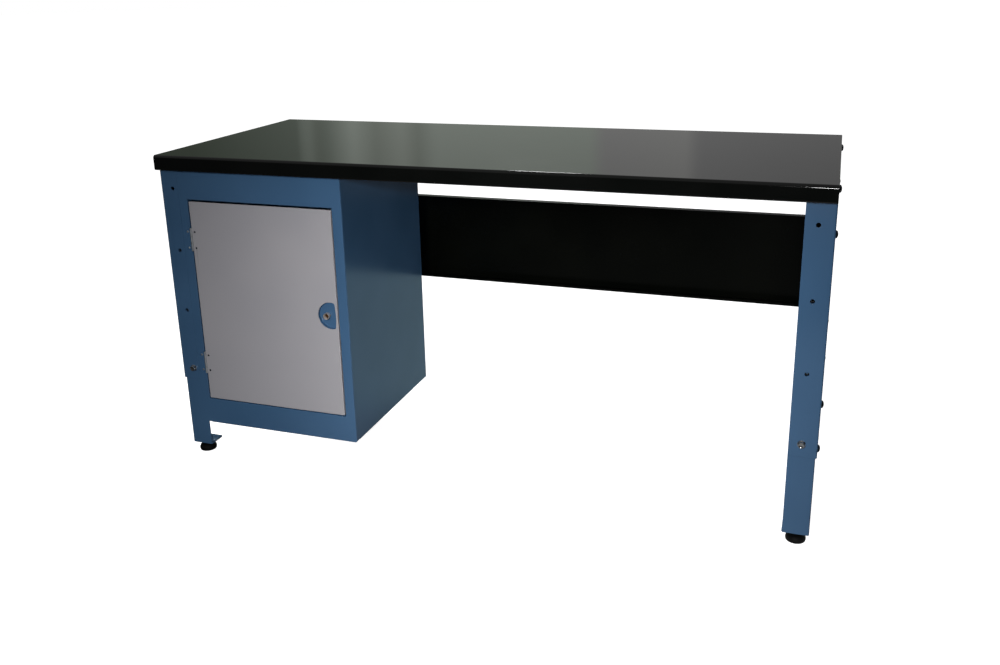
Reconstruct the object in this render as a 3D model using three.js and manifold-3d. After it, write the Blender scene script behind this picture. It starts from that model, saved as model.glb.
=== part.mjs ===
// Workbench with a lockable one-door cabinet under its left end.
// Millimetres, +Z up, +X to the right and -Y to the front. The origin is on the floor, under the middle.

import * as THREE from 'three';
import { mergeVertices } from 'three/addons/utils/BufferGeometryUtils.js';
import Module from 'manifold-3d';

const wasm = await Module();
wasm.setup();

// Overall sizes
const BENCH_LENGTH = 1800;
const BENCH_DEPTH = 736;
const BENCH_HEIGHT = 914;

// Worktop
const TOP_THICKNESS = 42;
const TOP_FRONT_RADIUS = 8;
const TOP_LOWER_RADIUS = 4;
const TOP_OVERHANG = 20;
const TOP_BOLT_FRONT_INSET = 68;
const TOP_BOLT_REAR_INSET = 100;

// Legs: steel angles, the lower one nested in the upper one
const LEG_WIDE = 68;
const LEG_NARROW = 55;
const LEG_WALL = 3;
const LEG_STANDOFF = 30;
const SLEEVE_END = 243;
const HOLE_INSET = 38;
const FIRST_HOLE_DROP = 54;
const HOLE_COUNT = 4;
const FACE_CLAMP_RISE = 34;
const SIDE_CLAMP_RISE = 10;
const PLATE_THICKNESS = 4;
const PLATE_DEPTH = 55;
const PLATE_REVEAL = 1.5;

// Levelling feet
const FOOT_RADIUS = 25;
const FOOT_HEIGHT = 23;
const FOOT_SIDE_INSET = 35;
const FOOT_FACE_INSET = 30;
const STUD_LENGTH = 46;

// Side rails
const RAIL_WALL = 2;
const UPPER_RAIL_HEIGHT = 110;
const UPPER_RAIL_FLANGE = 30;
const UPPER_RAIL_BOLT_DROP = 82;
const LOWER_RAIL_HEIGHT = 40;
const LOWER_RAIL_FLANGE = 20;
const LOWER_RAIL_BOLT_RISE = 127;

// Rear apron
const APRON_TOP_DROP = 190;
const APRON_ABOVE_RAIL = 19;
const APRON_WALL = 1.5;
const APRON_TOP_FLANGE = 25;
const APRON_BOTTOM_FLANGE = 40;
const APRON_LIP = 8;
const APRON_END_INSET = 15;
const APRON_BOLT_TOP_INSET = 42;
const APRON_BOLT_BOTTOM_INSET = 49;
const LOWER_LEG_ABOVE_APRON = 19;

// Cabinet
const CABINET_WIDTH = 564;
const CABINET_DEPTH = 506;
const CABINET_FLOOR_CLEARANCE = 107;
const FRAME_WALL = 1.5;
const FRAME_LIP = 20;
const FRAME_LEFT_REVEAL = 14;
const FRAME_RIGHT_WIDTH = 29.4;
const FRAME_TOP_HEIGHT = 85;
const FRAME_BOTTOM_HEIGHT = 77;
const PANEL_WALL = 1.5;
const PANEL_FLANGE = 20;
const SHELF_RISE = 370;
const SHELF_WALL = 1.2;
const SHELF_LIP = 22;
const SHELF_SETBACK = 38;

// Door
const DOOR_GAP = 3;
const DOOR_WALL = 1.5;
const DOOR_FOLD = 18;
const DOOR_RETURN = 12;

// Hinges
const HINGE_HEIGHT = 65;
const HINGE_INSET = 112;
const HINGE_AXIS_INSET = 0.5;
const HINGE_WALL = 1.2;
const KNUCKLE_RADIUS = 3;
const PIN_RADIUS = 1.3;
const PIN_HEAD_RADIUS = 2.4;
const PIN_HEAD_HEIGHT = 1;
const RIVET_PITCH = 47;
const RIVET_RADIUS = 2.1;
const RIVET_HEAD_RADIUS = 3;
const RIVET_HEAD_HEIGHT = 1.1;
const FRAME_RIVET_OFFSET = 10.5;
const DOOR_RIVET_OFFSET = 12.5;
const DOOR_LEAF_WIDTH = 19;

// Finger cup and lock
const CUP_RADIUS = 39;
const CUP_CHORD = 13;
const CUP_BOW = 3;
const CUP_EDGE_MARGIN = 5.6;
const CUP_DROP = 300;
const CUP_DEPTH = 11;
const CUP_WALL = 1.2;
const CUP_FLANGE = 2.5;
const LOCK_OFFSET_X = -15.5;
const LOCK_OFFSET_Z = -3.5;
const LOCK_COLLAR_RADIUS = 9.2;
const LOCK_BODY_RADIUS = 8;
const LOCK_PLUG_RADIUS = 5.5;
const LOCK_TANG = 7;
const LOCK_NUT_ACROSS = 22;
const LOCK_NUT_HEIGHT = 3;
const KEYHOLE_WIDTH = 2.2;
const KEYHOLE_HEIGHT = 8;
const KEYHOLE_DEPTH = 6;
const CAM_REACH = 48;
const CAM_WIDTH = 14;
const CAM_WALL = 2;

// Fasteners
const BOLT_RADIUS = 5;
const BOLT_LENGTH = 22;
const DOME_RADIUS = 9.5;
const DOME_HEIGHT = 5.5;
const HEX_ACROSS = 15;
const HEX_HEIGHT = 7;
const HEX_FLANGE_RADIUS = 10;
const HEX_FLANGE_HEIGHT = 2;
const NUT_ACROSS = 17;
const NUT_HEIGHT = 8;
const TOP_BOLT_LENGTH = 40;

// Clearances
const SEAT_GAP = 0.3;
const SHEET_GAP = 0.1;
const HOLE_GAP = 0.5;
const RUN_GAP = 0.2;
const KNUCKLE_GAP = 0.4;
const ROUND_SIDES = 12;

// Planes and heights worked out from the sizes above
const END_X = BENCH_LENGTH / 2;
const FACE_Y = BENCH_DEPTH / 2 - TOP_OVERHANG;
const UNDERSIDE = BENCH_HEIGHT - TOP_THICKNESS;
const CARRIED_TOP = UNDERSIDE - SEAT_GAP;
const NEST = LEG_WALL + SEAT_GAP;
const FACE_CLAMP_Z = SLEEVE_END + FACE_CLAMP_RISE;
const SIDE_CLAMP_Z = SLEEVE_END + SIDE_CLAMP_RISE;
const FIRST_HOLE_Z = UNDERSIDE - FIRST_HOLE_DROP;
const UPPER_RAIL_Z = UNDERSIDE - UPPER_RAIL_BOLT_DROP;
const LOWER_RAIL_Z = SLEEVE_END + LOWER_RAIL_BOLT_RISE;
const APRON_TOP = UNDERSIDE - APRON_TOP_DROP;
const APRON_BOTTOM = LOWER_RAIL_Z + LOWER_RAIL_HEIGHT / 2 + APRON_ABOVE_RAIL;
const LOWER_LEG_TOP = APRON_TOP + LOWER_LEG_ABOVE_APRON;
const HOLE_RADIUS = BOLT_RADIUS + HOLE_GAP;
const FRONT_Y = -FACE_Y;

// Door opening and door, in the plane of the legs' front faces
const OPENING_LEFT = -END_X + LEG_WIDE + FRAME_LEFT_REVEAL;
const CABINET_RIGHT = -END_X + CABINET_WIDTH;
const OPENING_RIGHT = CABINET_RIGHT - FRAME_RIGHT_WIDTH;
const OPENING_TOP = UNDERSIDE - FRAME_TOP_HEIGHT;
const CABINET_BOTTOM = CABINET_FLOOR_CLEARANCE;
const OPENING_BOTTOM = CABINET_BOTTOM + FRAME_BOTTOM_HEIGHT;
const DOOR_LEFT = OPENING_LEFT + DOOR_GAP;
const DOOR_RIGHT = OPENING_RIGHT - DOOR_GAP;
const DOOR_TOP = OPENING_TOP - DOOR_GAP;
const DOOR_BOTTOM = OPENING_BOTTOM + DOOR_GAP;
const FRAME_BACK_Y = FRONT_Y + FRAME_WALL;
const LIP_Y = FRONT_Y + FRAME_LIP;
const CABINET_REAR_Y = FRONT_Y + CABINET_DEPTH;
const CABINET_LEFT = -END_X + LEG_NARROW + SEAT_GAP;
const PANEL_LEFT = CABINET_LEFT + FRAME_WALL;
const LOWER_FLANGE_BACK_Y = FRONT_Y + NEST + LEG_WALL;

// Hinge axis: in the left gap, with the knuckle tangent to the back of the leaves
const HINGE_X = OPENING_LEFT + HINGE_AXIS_INSET;
const LEAF_FRONT_Y = FRONT_Y + Math.max(FRAME_WALL, DOOR_WALL) + SHEET_GAP;
const LEAF_BACK_Y = LEAF_FRONT_Y + HINGE_WALL;
const HINGE_Y = LEAF_BACK_Y - KNUCKLE_RADIUS;
const HINGE_CENTRES = { upper: DOOR_TOP - HINGE_INSET, lower: DOOR_BOTTOM + HINGE_INSET };
const KNUCKLE_REACH = KNUCKLE_RADIUS + HOLE_GAP;
const KNUCKLE_BORE = PIN_RADIUS + RUN_GAP;
const NOTCH_ALLOWANCE = RUN_GAP + PIN_HEAD_HEIGHT + HOLE_GAP;

// Lock axis and the planes of its pieces
const CUP_X = DOOR_RIGHT - CUP_EDGE_MARGIN - CUP_BOW - CUP_CHORD;
const CUP_Z = DOOR_TOP - CUP_DROP;
const LOCK_X = CUP_X + LOCK_OFFSET_X;
const LOCK_Z = CUP_Z + LOCK_OFFSET_Z;
const CUP_FRONT_Y = FRONT_Y + DOOR_WALL + SHEET_GAP;
const CUP_FLOOR_Y = FRONT_Y + CUP_DEPTH;
const CUP_BACK_Y = CUP_FLOOR_Y + CUP_WALL;
const CAM_FRONT_Y = FRONT_Y + Math.max(FRAME_LIP, DOOR_FOLD) + SEAT_GAP;
const CAM_BACK_Y = CAM_FRONT_Y + CAM_WALL;
const LOCK_BODY_BACK_Y = CAM_FRONT_Y - SEAT_GAP * 3;

// Finishes
const finish = (color, roughness, metalness) => new THREE.MeshStandardMaterial({ color, roughness, metalness });
const BLUE_PAINT = finish('#42628a', 0.45, 0.1);
const GREY_PAINT = finish('#8f8e92', 0.55, 0.1);
const BLACK_PAINT = finish('#121312', 0.4, 0.1);
const BLACK_LAMINATE = finish('#1b1d1b', 0.25, 0);
const BLACK_PLASTIC = finish('#0c0c0c', 0.6, 0);
const ZINC = finish('#b9bab6', 0.35, 0.9);
const DARK_STEEL = finish('#2b2f38', 0.4, 0.8);
const CHROME = finish('#c9c6c1', 0.15, 1);

// Shapes

/** A box between two limits on each axis. */
function block([x0, x1], [y0, y1], [z0, z1]) {
  const box = new THREE.BoxGeometry(Math.abs(x1 - x0), Math.abs(y1 - y0), Math.abs(z1 - z0));
  return box.translate((x0 + x1) / 2, (y0 + y1) / 2, (z0 + z1) / 2);
}

/** A cylinder, or a prism of a few sides, along one axis between two limits, about a centre. */
function rod(axis, radius, [from, to], [x, y, z], sides = ROUND_SIDES) {
  const cylinder = new THREE.CylinderGeometry(radius, radius, Math.abs(to - from), sides);
  const middle = (from + to) / 2;
  if (axis === 'x') return cylinder.rotateZ(Math.PI / 2).translate(middle, y, z);
  if (axis === 'y') return cylinder.translate(x, middle, z);
  return cylinder.rotateX(Math.PI / 2).translate(x, y, middle);
}

/** The corner radius of a hexagon of the given size across its flats. */
const hexRadius = (across) => across / Math.sqrt(3);

/** An outline in Y and Z, extruded along X. */
function alongX(shape, [x0, x1]) {
  const solid = new THREE.ExtrudeGeometry(shape, { depth: x1 - x0, bevelEnabled: false, curveSegments: 8 });
  const turn = new THREE.Matrix4().makeBasis(
    new THREE.Vector3(0, 1, 0), new THREE.Vector3(0, 0, 1), new THREE.Vector3(1, 0, 0));
  return solid.applyMatrix4(turn).translate(x0, 0, 0);
}

/** An outline in X and Z, extruded along Y between two limits. */
function alongY(shape, [y0, y1]) {
  const solid = new THREE.ExtrudeGeometry(shape, { depth: y1 - y0, bevelEnabled: false, curveSegments: 16 });
  return solid.rotateX(Math.PI / 2).translate(0, y1, 0);
}

/** A closed geometry as a solid that can be joined and cut. */
function solidOf(geometry) {
  const bare = geometry.clone();
  bare.deleteAttribute('normal');
  bare.deleteAttribute('uv');
  const merged = mergeVertices(bare, 1e-4);
  return new wasm.Manifold(new wasm.Mesh({
    numProp: 3,
    vertProperties: new Float32Array(merged.attributes.position.array),
    triVerts: new Uint32Array(merged.index.array),
  }));
}

/** A solid back as a geometry. */
function geometryOf(solid) {
  const mesh = solid.getMesh();
  const geometry = new THREE.BufferGeometry();
  geometry.setAttribute('position', new THREE.BufferAttribute(new Float32Array(mesh.vertProperties), 3));
  geometry.setIndex(new THREE.BufferAttribute(new Uint32Array(mesh.triVerts), 1));
  geometry.computeVertexNormals();
  return geometry;
}

/** Joins geometries into one, then cuts others out of it. */
function carve(joined, removed = []) {
  let solid = solidOf(joined[0]);
  for (const geometry of joined.slice(1)) solid = solid.add(solidOf(geometry));
  for (const geometry of removed) solid = solid.subtract(solidOf(geometry));
  return geometryOf(solid);
}

const group = (...children) => new THREE.Group().add(...children);

function piece(name, geometry, material) {
  const mesh = new THREE.Mesh(geometry, material);
  mesh.name = name;
  return mesh;
}

// The four corners: which way is out, and how wide the upper leg's two flanges are.
// One leg pattern turned by quarter turns puts its wide flange on the face of every second corner.
const CORNERS = [
  { name: 'front_left', outX: -1, outY: -1, faceWidth: LEG_NARROW, sideWidth: LEG_WIDE },
  { name: 'front_right', outX: 1, outY: -1, faceWidth: LEG_WIDE, sideWidth: LEG_NARROW },
  { name: 'rear_left', outX: -1, outY: 1, faceWidth: LEG_WIDE, sideWidth: LEG_NARROW },
  { name: 'rear_right', outX: 1, outY: 1, faceWidth: LEG_NARROW, sideWidth: LEG_WIDE },
];

/** The X that lies a distance in from the bench's end, at this corner. */
const inFromEnd = (corner, distance) => corner.outX * (END_X - distance);

/** The Y that lies a distance in from the legs' outer face, at this corner. */
const inFromFace = (corner, distance) => corner.outY * (FACE_Y - distance);

/** A box at a corner, with both horizontal limits measured inwards. */
function cornerBlock(corner, [u0, u1], [v0, v1], heights) {
  const across = [inFromEnd(corner, u0), inFromEnd(corner, u1)];
  const deep = [inFromFace(corner, v0), inFromFace(corner, v1)];
  return block(across, deep, heights);
}

/** A round cut through a leg's face flange. */
function faceHole(corner, z, depth) {
  const limits = [inFromFace(corner, -1), inFromFace(corner, depth)];
  return rod('y', HOLE_RADIUS, limits, [inFromEnd(corner, HOLE_INSET), 0, z]);
}

/** A round cut through a leg's side flange. */
function sideHole(corner, z, depth) {
  const limits = [inFromEnd(corner, -1), inFromEnd(corner, depth)];
  return rod('x', HOLE_RADIUS, limits, [0, inFromFace(corner, HOLE_INSET), z]);
}

/** Heights of the holes in a leg's face: evenly pitched at the front, at the apron's bolts at the rear. */
function faceHoleHeights(corner) {
  if (corner.outY > 0) {
    return [FIRST_HOLE_Z, APRON_TOP - APRON_BOLT_TOP_INSET, APRON_BOTTOM + APRON_BOLT_BOTTOM_INSET, FACE_CLAMP_Z];
  }
  const pitch = (FIRST_HOLE_Z - FACE_CLAMP_Z) / (HOLE_COUNT - 1);
  return Array.from({ length: HOLE_COUNT }, (_, step) => FIRST_HOLE_Z - step * pitch);
}

// Worktop

function worktop() {
  const front = -BENCH_DEPTH / 2;
  const rear = BENCH_DEPTH / 2;
  const outline = new THREE.Shape();
  outline.moveTo(rear, UNDERSIDE);
  outline.lineTo(rear, BENCH_HEIGHT);
  outline.lineTo(front + TOP_FRONT_RADIUS, BENCH_HEIGHT);
  outline.absarc(front + TOP_FRONT_RADIUS, BENCH_HEIGHT - TOP_FRONT_RADIUS, TOP_FRONT_RADIUS,
    Math.PI / 2, Math.PI, false);
  outline.absarc(front + TOP_LOWER_RADIUS, UNDERSIDE + TOP_LOWER_RADIUS, TOP_LOWER_RADIUS,
    Math.PI, Math.PI * 1.5, false);
  const slab = alongX(outline, [-END_X, END_X]);
  const holes = [];
  for (const side of [-1, 1]) {
    for (const y of topBoltPlaces()) {
      const limits = [side * (END_X + 1), side * (END_X - TOP_BOLT_LENGTH - HOLE_GAP)];
      holes.push(rod('x', HOLE_RADIUS, limits, [0, y, topBoltHeight()]));
    }
  }
  return piece('worktop', carve([slab], holes), BLACK_LAMINATE);
}

const topBoltPlaces = () => [-BENCH_DEPTH / 2 + TOP_BOLT_FRONT_INSET, BENCH_DEPTH / 2 - TOP_BOLT_REAR_INSET];
const topBoltHeight = () => UNDERSIDE + TOP_THICKNESS / 2;

// Legs

function upperLeg(corner) {
  const heights = [SLEEVE_END, CARRIED_TOP];
  const face = cornerBlock(corner, [0, corner.faceWidth], [0, LEG_WALL], heights);
  const side = cornerBlock(corner, [0, LEG_WALL], [0, corner.sideWidth], heights);
  const holes = faceHoleHeights(corner).map((z) => faceHole(corner, z, NEST));
  for (const z of [UPPER_RAIL_Z, LOWER_RAIL_Z, SIDE_CLAMP_Z]) holes.push(sideHole(corner, z, NEST));
  return piece(`leg_upper_${corner.name}`, carve([face, side], holes), BLUE_PAINT);
}

function lowerLeg(corner) {
  const heights = [LEG_STANDOFF, LOWER_LEG_TOP];
  const wallEnd = NEST + LEG_WALL;
  const weld = LEG_WALL / 2;
  const nut = hexRadius(NUT_ACROSS);
  const nutReach = wallEnd + NUT_HEIGHT;
  const clampX = inFromEnd(corner, HOLE_INSET);
  const clampY = inFromFace(corner, HOLE_INSET);
  const footX = inFromEnd(corner, FOOT_SIDE_INSET);
  const footY = inFromFace(corner, FOOT_FACE_INSET);
  const plateTop = LEG_STANDOFF + PLATE_THICKNESS;
  const joined = [
    cornerBlock(corner, [NEST, LEG_WIDE], [NEST, wallEnd], heights),
    cornerBlock(corner, [NEST, wallEnd], [NEST, LEG_WIDE], heights),
    cornerBlock(corner, [wallEnd - weld, LEG_WIDE + PLATE_REVEAL], [wallEnd - weld, NEST + PLATE_DEPTH],
      [LEG_STANDOFF, plateTop]),
    rod('y', nut, [inFromFace(corner, wallEnd - weld), inFromFace(corner, nutReach)],
      [clampX, 0, FACE_CLAMP_Z], 6),
    rod('x', nut, [inFromEnd(corner, wallEnd - weld), inFromEnd(corner, nutReach)],
      [0, clampY, SIDE_CLAMP_Z], 6),
    rod('z', nut, [plateTop - weld, plateTop + NUT_HEIGHT], [footX, footY, 0], 6),
  ];
  const removed = [
    sideHole(corner, LOWER_RAIL_Z, nutReach),
    sideHole(corner, SIDE_CLAMP_Z, nutReach + 1),
    rod('z', HOLE_RADIUS, [LEG_STANDOFF - 1, plateTop + NUT_HEIGHT + 1], [footX, footY, 0]),
  ];
  for (const z of faceHoleHeights(corner)) {
    if (z < LOWER_LEG_TOP) removed.push(faceHole(corner, z, nutReach + 1));
  }
  return piece(`leg_lower_${corner.name}`, carve(joined, removed), BLUE_PAINT);
}

/** A domed pad moulded on a threaded stud, which screws into the leg's bottom plate. */
function foot(corner) {
  const rim = FOOT_HEIGHT * 0.3;
  const outline = [
    [0, 0], [FOOT_RADIUS * 0.8, 0], [FOOT_RADIUS * 0.95, rim * 0.4], [FOOT_RADIUS, rim],
    [FOOT_RADIUS * 0.94, rim * 1.7], [FOOT_RADIUS * 0.76, FOOT_HEIGHT * 0.78],
    [FOOT_RADIUS * 0.5, FOOT_HEIGHT * 0.95], [FOOT_RADIUS * 0.36, FOOT_HEIGHT],
    [BOLT_RADIUS, FOOT_HEIGHT], [BOLT_RADIUS, FOOT_HEIGHT + STUD_LENGTH], [0, FOOT_HEIGHT + STUD_LENGTH],
  ];
  const turned = new THREE.LatheGeometry(outline.map(([r, z]) => new THREE.Vector2(r, z)), ROUND_SIDES);
  const mesh = piece(`foot_${corner.name}`, turned.rotateX(Math.PI / 2), BLACK_PLASTIC);
  mesh.position.set(inFromEnd(corner, FOOT_SIDE_INSET), inFromFace(corner, FOOT_FACE_INSET), 0);
  return mesh;
}

// Bolts

/** A bolt along Z with its head up and its seat at the origin. */
function boltGeometry(head, length, lift) {
  const points = [[0, -length], [BOLT_RADIUS, -length], [BOLT_RADIUS, lift], ...head];
  return new THREE.LatheGeometry(points.map(([r, z]) => new THREE.Vector2(r, z)), ROUND_SIDES).rotateX(Math.PI / 2);
}

/** A shallow domed head, as on a coach bolt. */
function domedBolt(length) {
  const head = [[DOME_RADIUS, SHEET_GAP]];
  const steps = 4;
  for (let step = 1; step < steps; step += 1) {
    const angle = (step / steps) * (Math.PI / 2);
    head.push([DOME_RADIUS * Math.cos(angle), SHEET_GAP + DOME_HEIGHT * Math.sin(angle)]);
  }
  head.push([0, SHEET_GAP + DOME_HEIGHT]);
  return boltGeometry(head, length, SHEET_GAP);
}

/** A hexagon head on a round flange. */
function hexBolt(length) {
  const flangeTop = SHEET_GAP + HEX_FLANGE_HEIGHT;
  const head = [[HEX_FLANGE_RADIUS, SHEET_GAP], [HEX_FLANGE_RADIUS, flangeTop], [0, flangeTop]];
  const hex = rod('z', hexRadius(HEX_ACROSS), [SHEET_GAP, flangeTop + HEX_HEIGHT], [0, 0, 0], 6);
  return carve([boltGeometry(head, length, SHEET_GAP), hex]);
}

/** Seats a bolt on a face that looks out along the given direction. */
function boltAt(name, geometry, material, place, out) {
  const mesh = piece(name, geometry, material);
  mesh.position.set(...place);
  mesh.quaternion.setFromUnitVectors(new THREE.Vector3(0, 0, 1), new THREE.Vector3(...out));
  return mesh;
}

function legBolts(corner) {
  const sidePlace = (z) => [inFromEnd(corner, 0), inFromFace(corner, HOLE_INSET), z];
  const facePlace = (z) => [inFromEnd(corner, HOLE_INSET), inFromFace(corner, 0), z];
  const outSide = [corner.outX, 0, 0];
  const outFace = [0, corner.outY, 0];
  const bolts = [
    boltAt(`clamp_bolt_face_${corner.name}`, hexBolt(BOLT_LENGTH), ZINC, facePlace(FACE_CLAMP_Z), outFace),
    boltAt(`clamp_bolt_side_${corner.name}`, domedBolt(BOLT_LENGTH), DARK_STEEL, sidePlace(SIDE_CLAMP_Z), outSide),
    boltAt(`rail_bolt_upper_${corner.name}`, domedBolt(BOLT_LENGTH), DARK_STEEL, sidePlace(UPPER_RAIL_Z), outSide),
    boltAt(`rail_bolt_lower_${corner.name}`, domedBolt(BOLT_LENGTH), DARK_STEEL, sidePlace(LOWER_RAIL_Z), outSide),
  ];
  if (corner.outY > 0) {
    const [, upper, lower] = faceHoleHeights(corner);
    const side = corner.name.replace('rear_', '');
    bolts.push(boltAt(`apron_bolt_upper_${side}`, domedBolt(BOLT_LENGTH), DARK_STEEL, facePlace(upper), outFace));
    bolts.push(boltAt(`apron_bolt_lower_${side}`, domedBolt(BOLT_LENGTH), DARK_STEEL, facePlace(lower), outFace));
  }
  return bolts;
}

function topBolts() {
  const names = ['front', 'rear'];
  const bolts = [];
  for (const [side, label] of [[-1, 'left'], [1, 'right']]) {
    topBoltPlaces().forEach((y, index) => {
      const place = [side * END_X, y, topBoltHeight()];
      const name = `top_bolt_${names[index]}_${label}`;
      bolts.push(boltAt(name, domedBolt(TOP_BOLT_LENGTH), DARK_STEEL, place, [side, 0, 0]));
    });
  }
  return bolts;
}

// Side rails: folded channels with welded nuts, inside the legs' side flanges

function rail(name, side, inset, bolt, [bottom, top], flange) {
  const ends = FACE_Y - NEST - LEG_WALL - SEAT_GAP * 10;
  const webOut = side * (END_X - inset);
  const webIn = side * (END_X - inset - RAIL_WALL);
  const flangeIn = side * (END_X - inset - flange);
  const nutIn = side * (END_X - inset - RAIL_WALL - NUT_HEIGHT);
  const joined = [
    block([webOut, webIn], [-ends, ends], [bottom, top]),
    block([webOut, flangeIn], [-ends, ends], [bottom, bottom + RAIL_WALL]),
    block([webOut, flangeIn], [-ends, ends], [top - RAIL_WALL, top]),
  ];
  const removed = [];
  for (const y of [-(FACE_Y - HOLE_INSET), FACE_Y - HOLE_INSET]) {
    const weld = side * (END_X - inset - RAIL_WALL / 2);
    joined.push(rod('x', hexRadius(NUT_ACROSS), [weld, nutIn], [0, y, bolt], 6));
    removed.push(rod('x', HOLE_RADIUS, [side * END_X, nutIn - side], [0, y, bolt]));
  }
  return piece(name, carve(joined, removed), BLUE_PAINT);
}

function sideRails() {
  const rails = [];
  for (const [side, label] of [[-1, 'left'], [1, 'right']]) {
    const upper = [CARRIED_TOP - UPPER_RAIL_HEIGHT, CARRIED_TOP];
    const lower = [LOWER_RAIL_Z - LOWER_RAIL_HEIGHT / 2, LOWER_RAIL_Z + LOWER_RAIL_HEIGHT / 2];
    rails.push(rail(`rail_upper_${label}`, side, NEST, UPPER_RAIL_Z, upper, UPPER_RAIL_FLANGE));
    rails.push(rail(`rail_lower_${label}`, side, NEST * 2, LOWER_RAIL_Z, lower, LOWER_RAIL_FLANGE));
  }
  return rails;
}

// Rear apron: a folded sheet with flanges to the front, bolted inside the rear legs

function apron() {
  const back = FACE_Y - NEST * 2;
  const web = back - APRON_WALL;
  const topFront = web - APRON_TOP_FLANGE;
  const lipBack = web - APRON_BOTTOM_FLANGE + APRON_WALL;
  const lipFront = web - APRON_BOTTOM_FLANGE;
  const outline = new THREE.Shape([
    [back, APRON_BOTTOM], [back, APRON_TOP], [topFront, APRON_TOP], [topFront, APRON_TOP - APRON_WALL],
    [web, APRON_TOP - APRON_WALL], [web, APRON_BOTTOM + APRON_WALL], [lipBack, APRON_BOTTOM + APRON_WALL],
    [lipBack, APRON_BOTTOM + APRON_LIP], [lipFront, APRON_BOTTOM + APRON_LIP], [lipFront, APRON_BOTTOM],
  ].map(([y, z]) => new THREE.Vector2(y, z)));
  const reach = END_X - APRON_END_INSET;
  const joined = [alongX(outline, [-reach, reach])];
  const removed = [];
  const nut = hexRadius(NUT_ACROSS);
  for (const corner of CORNERS.filter(({ outY }) => outY > 0)) {
    const [, upper, lower] = faceHoleHeights(corner);
    for (const z of [upper, lower]) {
      const centre = [inFromEnd(corner, HOLE_INSET), 0, z];
      joined.push(rod('y', nut, [web - NUT_HEIGHT, back - APRON_WALL / 2], centre, 6));
      removed.push(rod('y', HOLE_RADIUS, [web - NUT_HEIGHT - 1, back + 1], centre));
    }
  }
  return piece('apron', carve(joined, removed), BLACK_PAINT);
}

// Cabinet

/** Height limits of a hinge, with an allowance at each end. */
const hingeSpan = (centre, allowance) => [
  centre - HINGE_HEIGHT / 2 - allowance, centre + HINGE_HEIGHT / 2 + allowance];

/** Heights of the two rivets in each leaf of a hinge. */
const rivetHeights = (centre) => [centre - RIVET_PITCH / 2, centre + RIVET_PITCH / 2];

/** The front sheet with its door opening, a lip folded in round the opening and flanges top and bottom. */
function cabinetFrame() {
  const top = CARRIED_TOP;
  const inner = [OPENING_LEFT - FRAME_WALL, OPENING_RIGHT + FRAME_WALL];
  const lipHeights = [OPENING_BOTTOM - FRAME_WALL, OPENING_TOP + FRAME_WALL];
  const flangeAcross = [OPENING_LEFT - FRAME_WALL, CABINET_RIGHT - PANEL_WALL - SEAT_GAP * 2];
  const joined = [
    block([CABINET_LEFT, CABINET_RIGHT], [FRONT_Y, FRAME_BACK_Y], [CABINET_BOTTOM, top]),
    block(inner, [FRONT_Y, LIP_Y], lipHeights),
    block(flangeAcross, [FRONT_Y, LIP_Y], [CABINET_BOTTOM, CABINET_BOTTOM + FRAME_WALL]),
    block(flangeAcross, [FRONT_Y, LIP_Y], [top - FRAME_WALL, top]),
  ];
  const removed = [
    block([OPENING_LEFT, OPENING_RIGHT], [FRONT_Y - 1, LIP_Y + 1], [OPENING_BOTTOM, OPENING_TOP]),
  ];
  for (const centre of Object.values(HINGE_CENTRES)) {
    const notch = [HINGE_X - KNUCKLE_REACH, OPENING_LEFT + 1];
    removed.push(block(notch, [FRONT_Y - 1, LEAF_BACK_Y + HOLE_GAP], hingeSpan(centre, NOTCH_ALLOWANCE)));
    for (const z of rivetHeights(centre)) {
      const place = [HINGE_X - FRAME_RIVET_OFFSET, 0, z];
      removed.push(rod('y', RIVET_RADIUS + RUN_GAP, [FRONT_Y - 1, FRAME_BACK_Y + 1], place));
    }
  }
  return piece('cabinet_frame', carve(joined, removed), BLUE_PAINT);
}

const SHELF_BOTTOM = CABINET_BOTTOM + SHELF_RISE;
const FLOOR_BOTTOM = CABINET_BOTTOM + FRAME_WALL + SEAT_GAP;
const PANEL_REAR_Y = CABINET_REAR_Y - PANEL_WALL - SEAT_GAP;

/** A side panel with a top flange and a welded shelf ledge; inward is +1 on the left panel. */
function sidePanelBlocks(outerX, inward, frontY) {
  const innerX = outerX + inward * PANEL_WALL;
  const flangeX = innerX + inward * PANEL_FLANGE;
  const ledgeFront = LIP_Y + SHELF_SETBACK;
  return [
    block([outerX, innerX], [frontY, PANEL_REAR_Y], [CABINET_BOTTOM, CARRIED_TOP]),
    block([outerX, flangeX], [LIP_Y + SEAT_GAP, PANEL_REAR_Y], [CARRIED_TOP - PANEL_WALL, CARRIED_TOP]),
    block([outerX, flangeX], [ledgeFront, PANEL_REAR_Y], [SHELF_BOTTOM - PANEL_WALL, SHELF_BOTTOM]),
  ];
}

/** The left panel also has a front flange, which reaches behind the lower leg to the frame's lip. */
function cabinetLeft() {
  const frontY = LOWER_FLANGE_BACK_Y + SEAT_GAP;
  const flangeReach = OPENING_LEFT - FRAME_WALL - SEAT_GAP;
  const flange = block([PANEL_LEFT, flangeReach], [frontY, frontY + PANEL_WALL], [CABINET_BOTTOM, CARRIED_TOP]);
  const joined = [...sidePanelBlocks(PANEL_LEFT, 1, frontY), flange];
  return piece('cabinet_left', carve(joined), BLUE_PAINT);
}

function cabinetRight() {
  const joined = sidePanelBlocks(CABINET_RIGHT, -1, FRAME_BACK_Y + SEAT_GAP);
  return piece('cabinet_right', carve(joined), BLUE_PAINT);
}

function cabinetBack() {
  const sheet = block([PANEL_LEFT, CABINET_RIGHT], [CABINET_REAR_Y - PANEL_WALL, CABINET_REAR_Y],
    [CABINET_BOTTOM, CARRIED_TOP]);
  return piece('cabinet_back', sheet, BLUE_PAINT);
}

const INSIDE_LEFT = PANEL_LEFT + PANEL_WALL + SEAT_GAP;
const INSIDE_RIGHT = CABINET_RIGHT - PANEL_WALL - SEAT_GAP;

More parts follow.
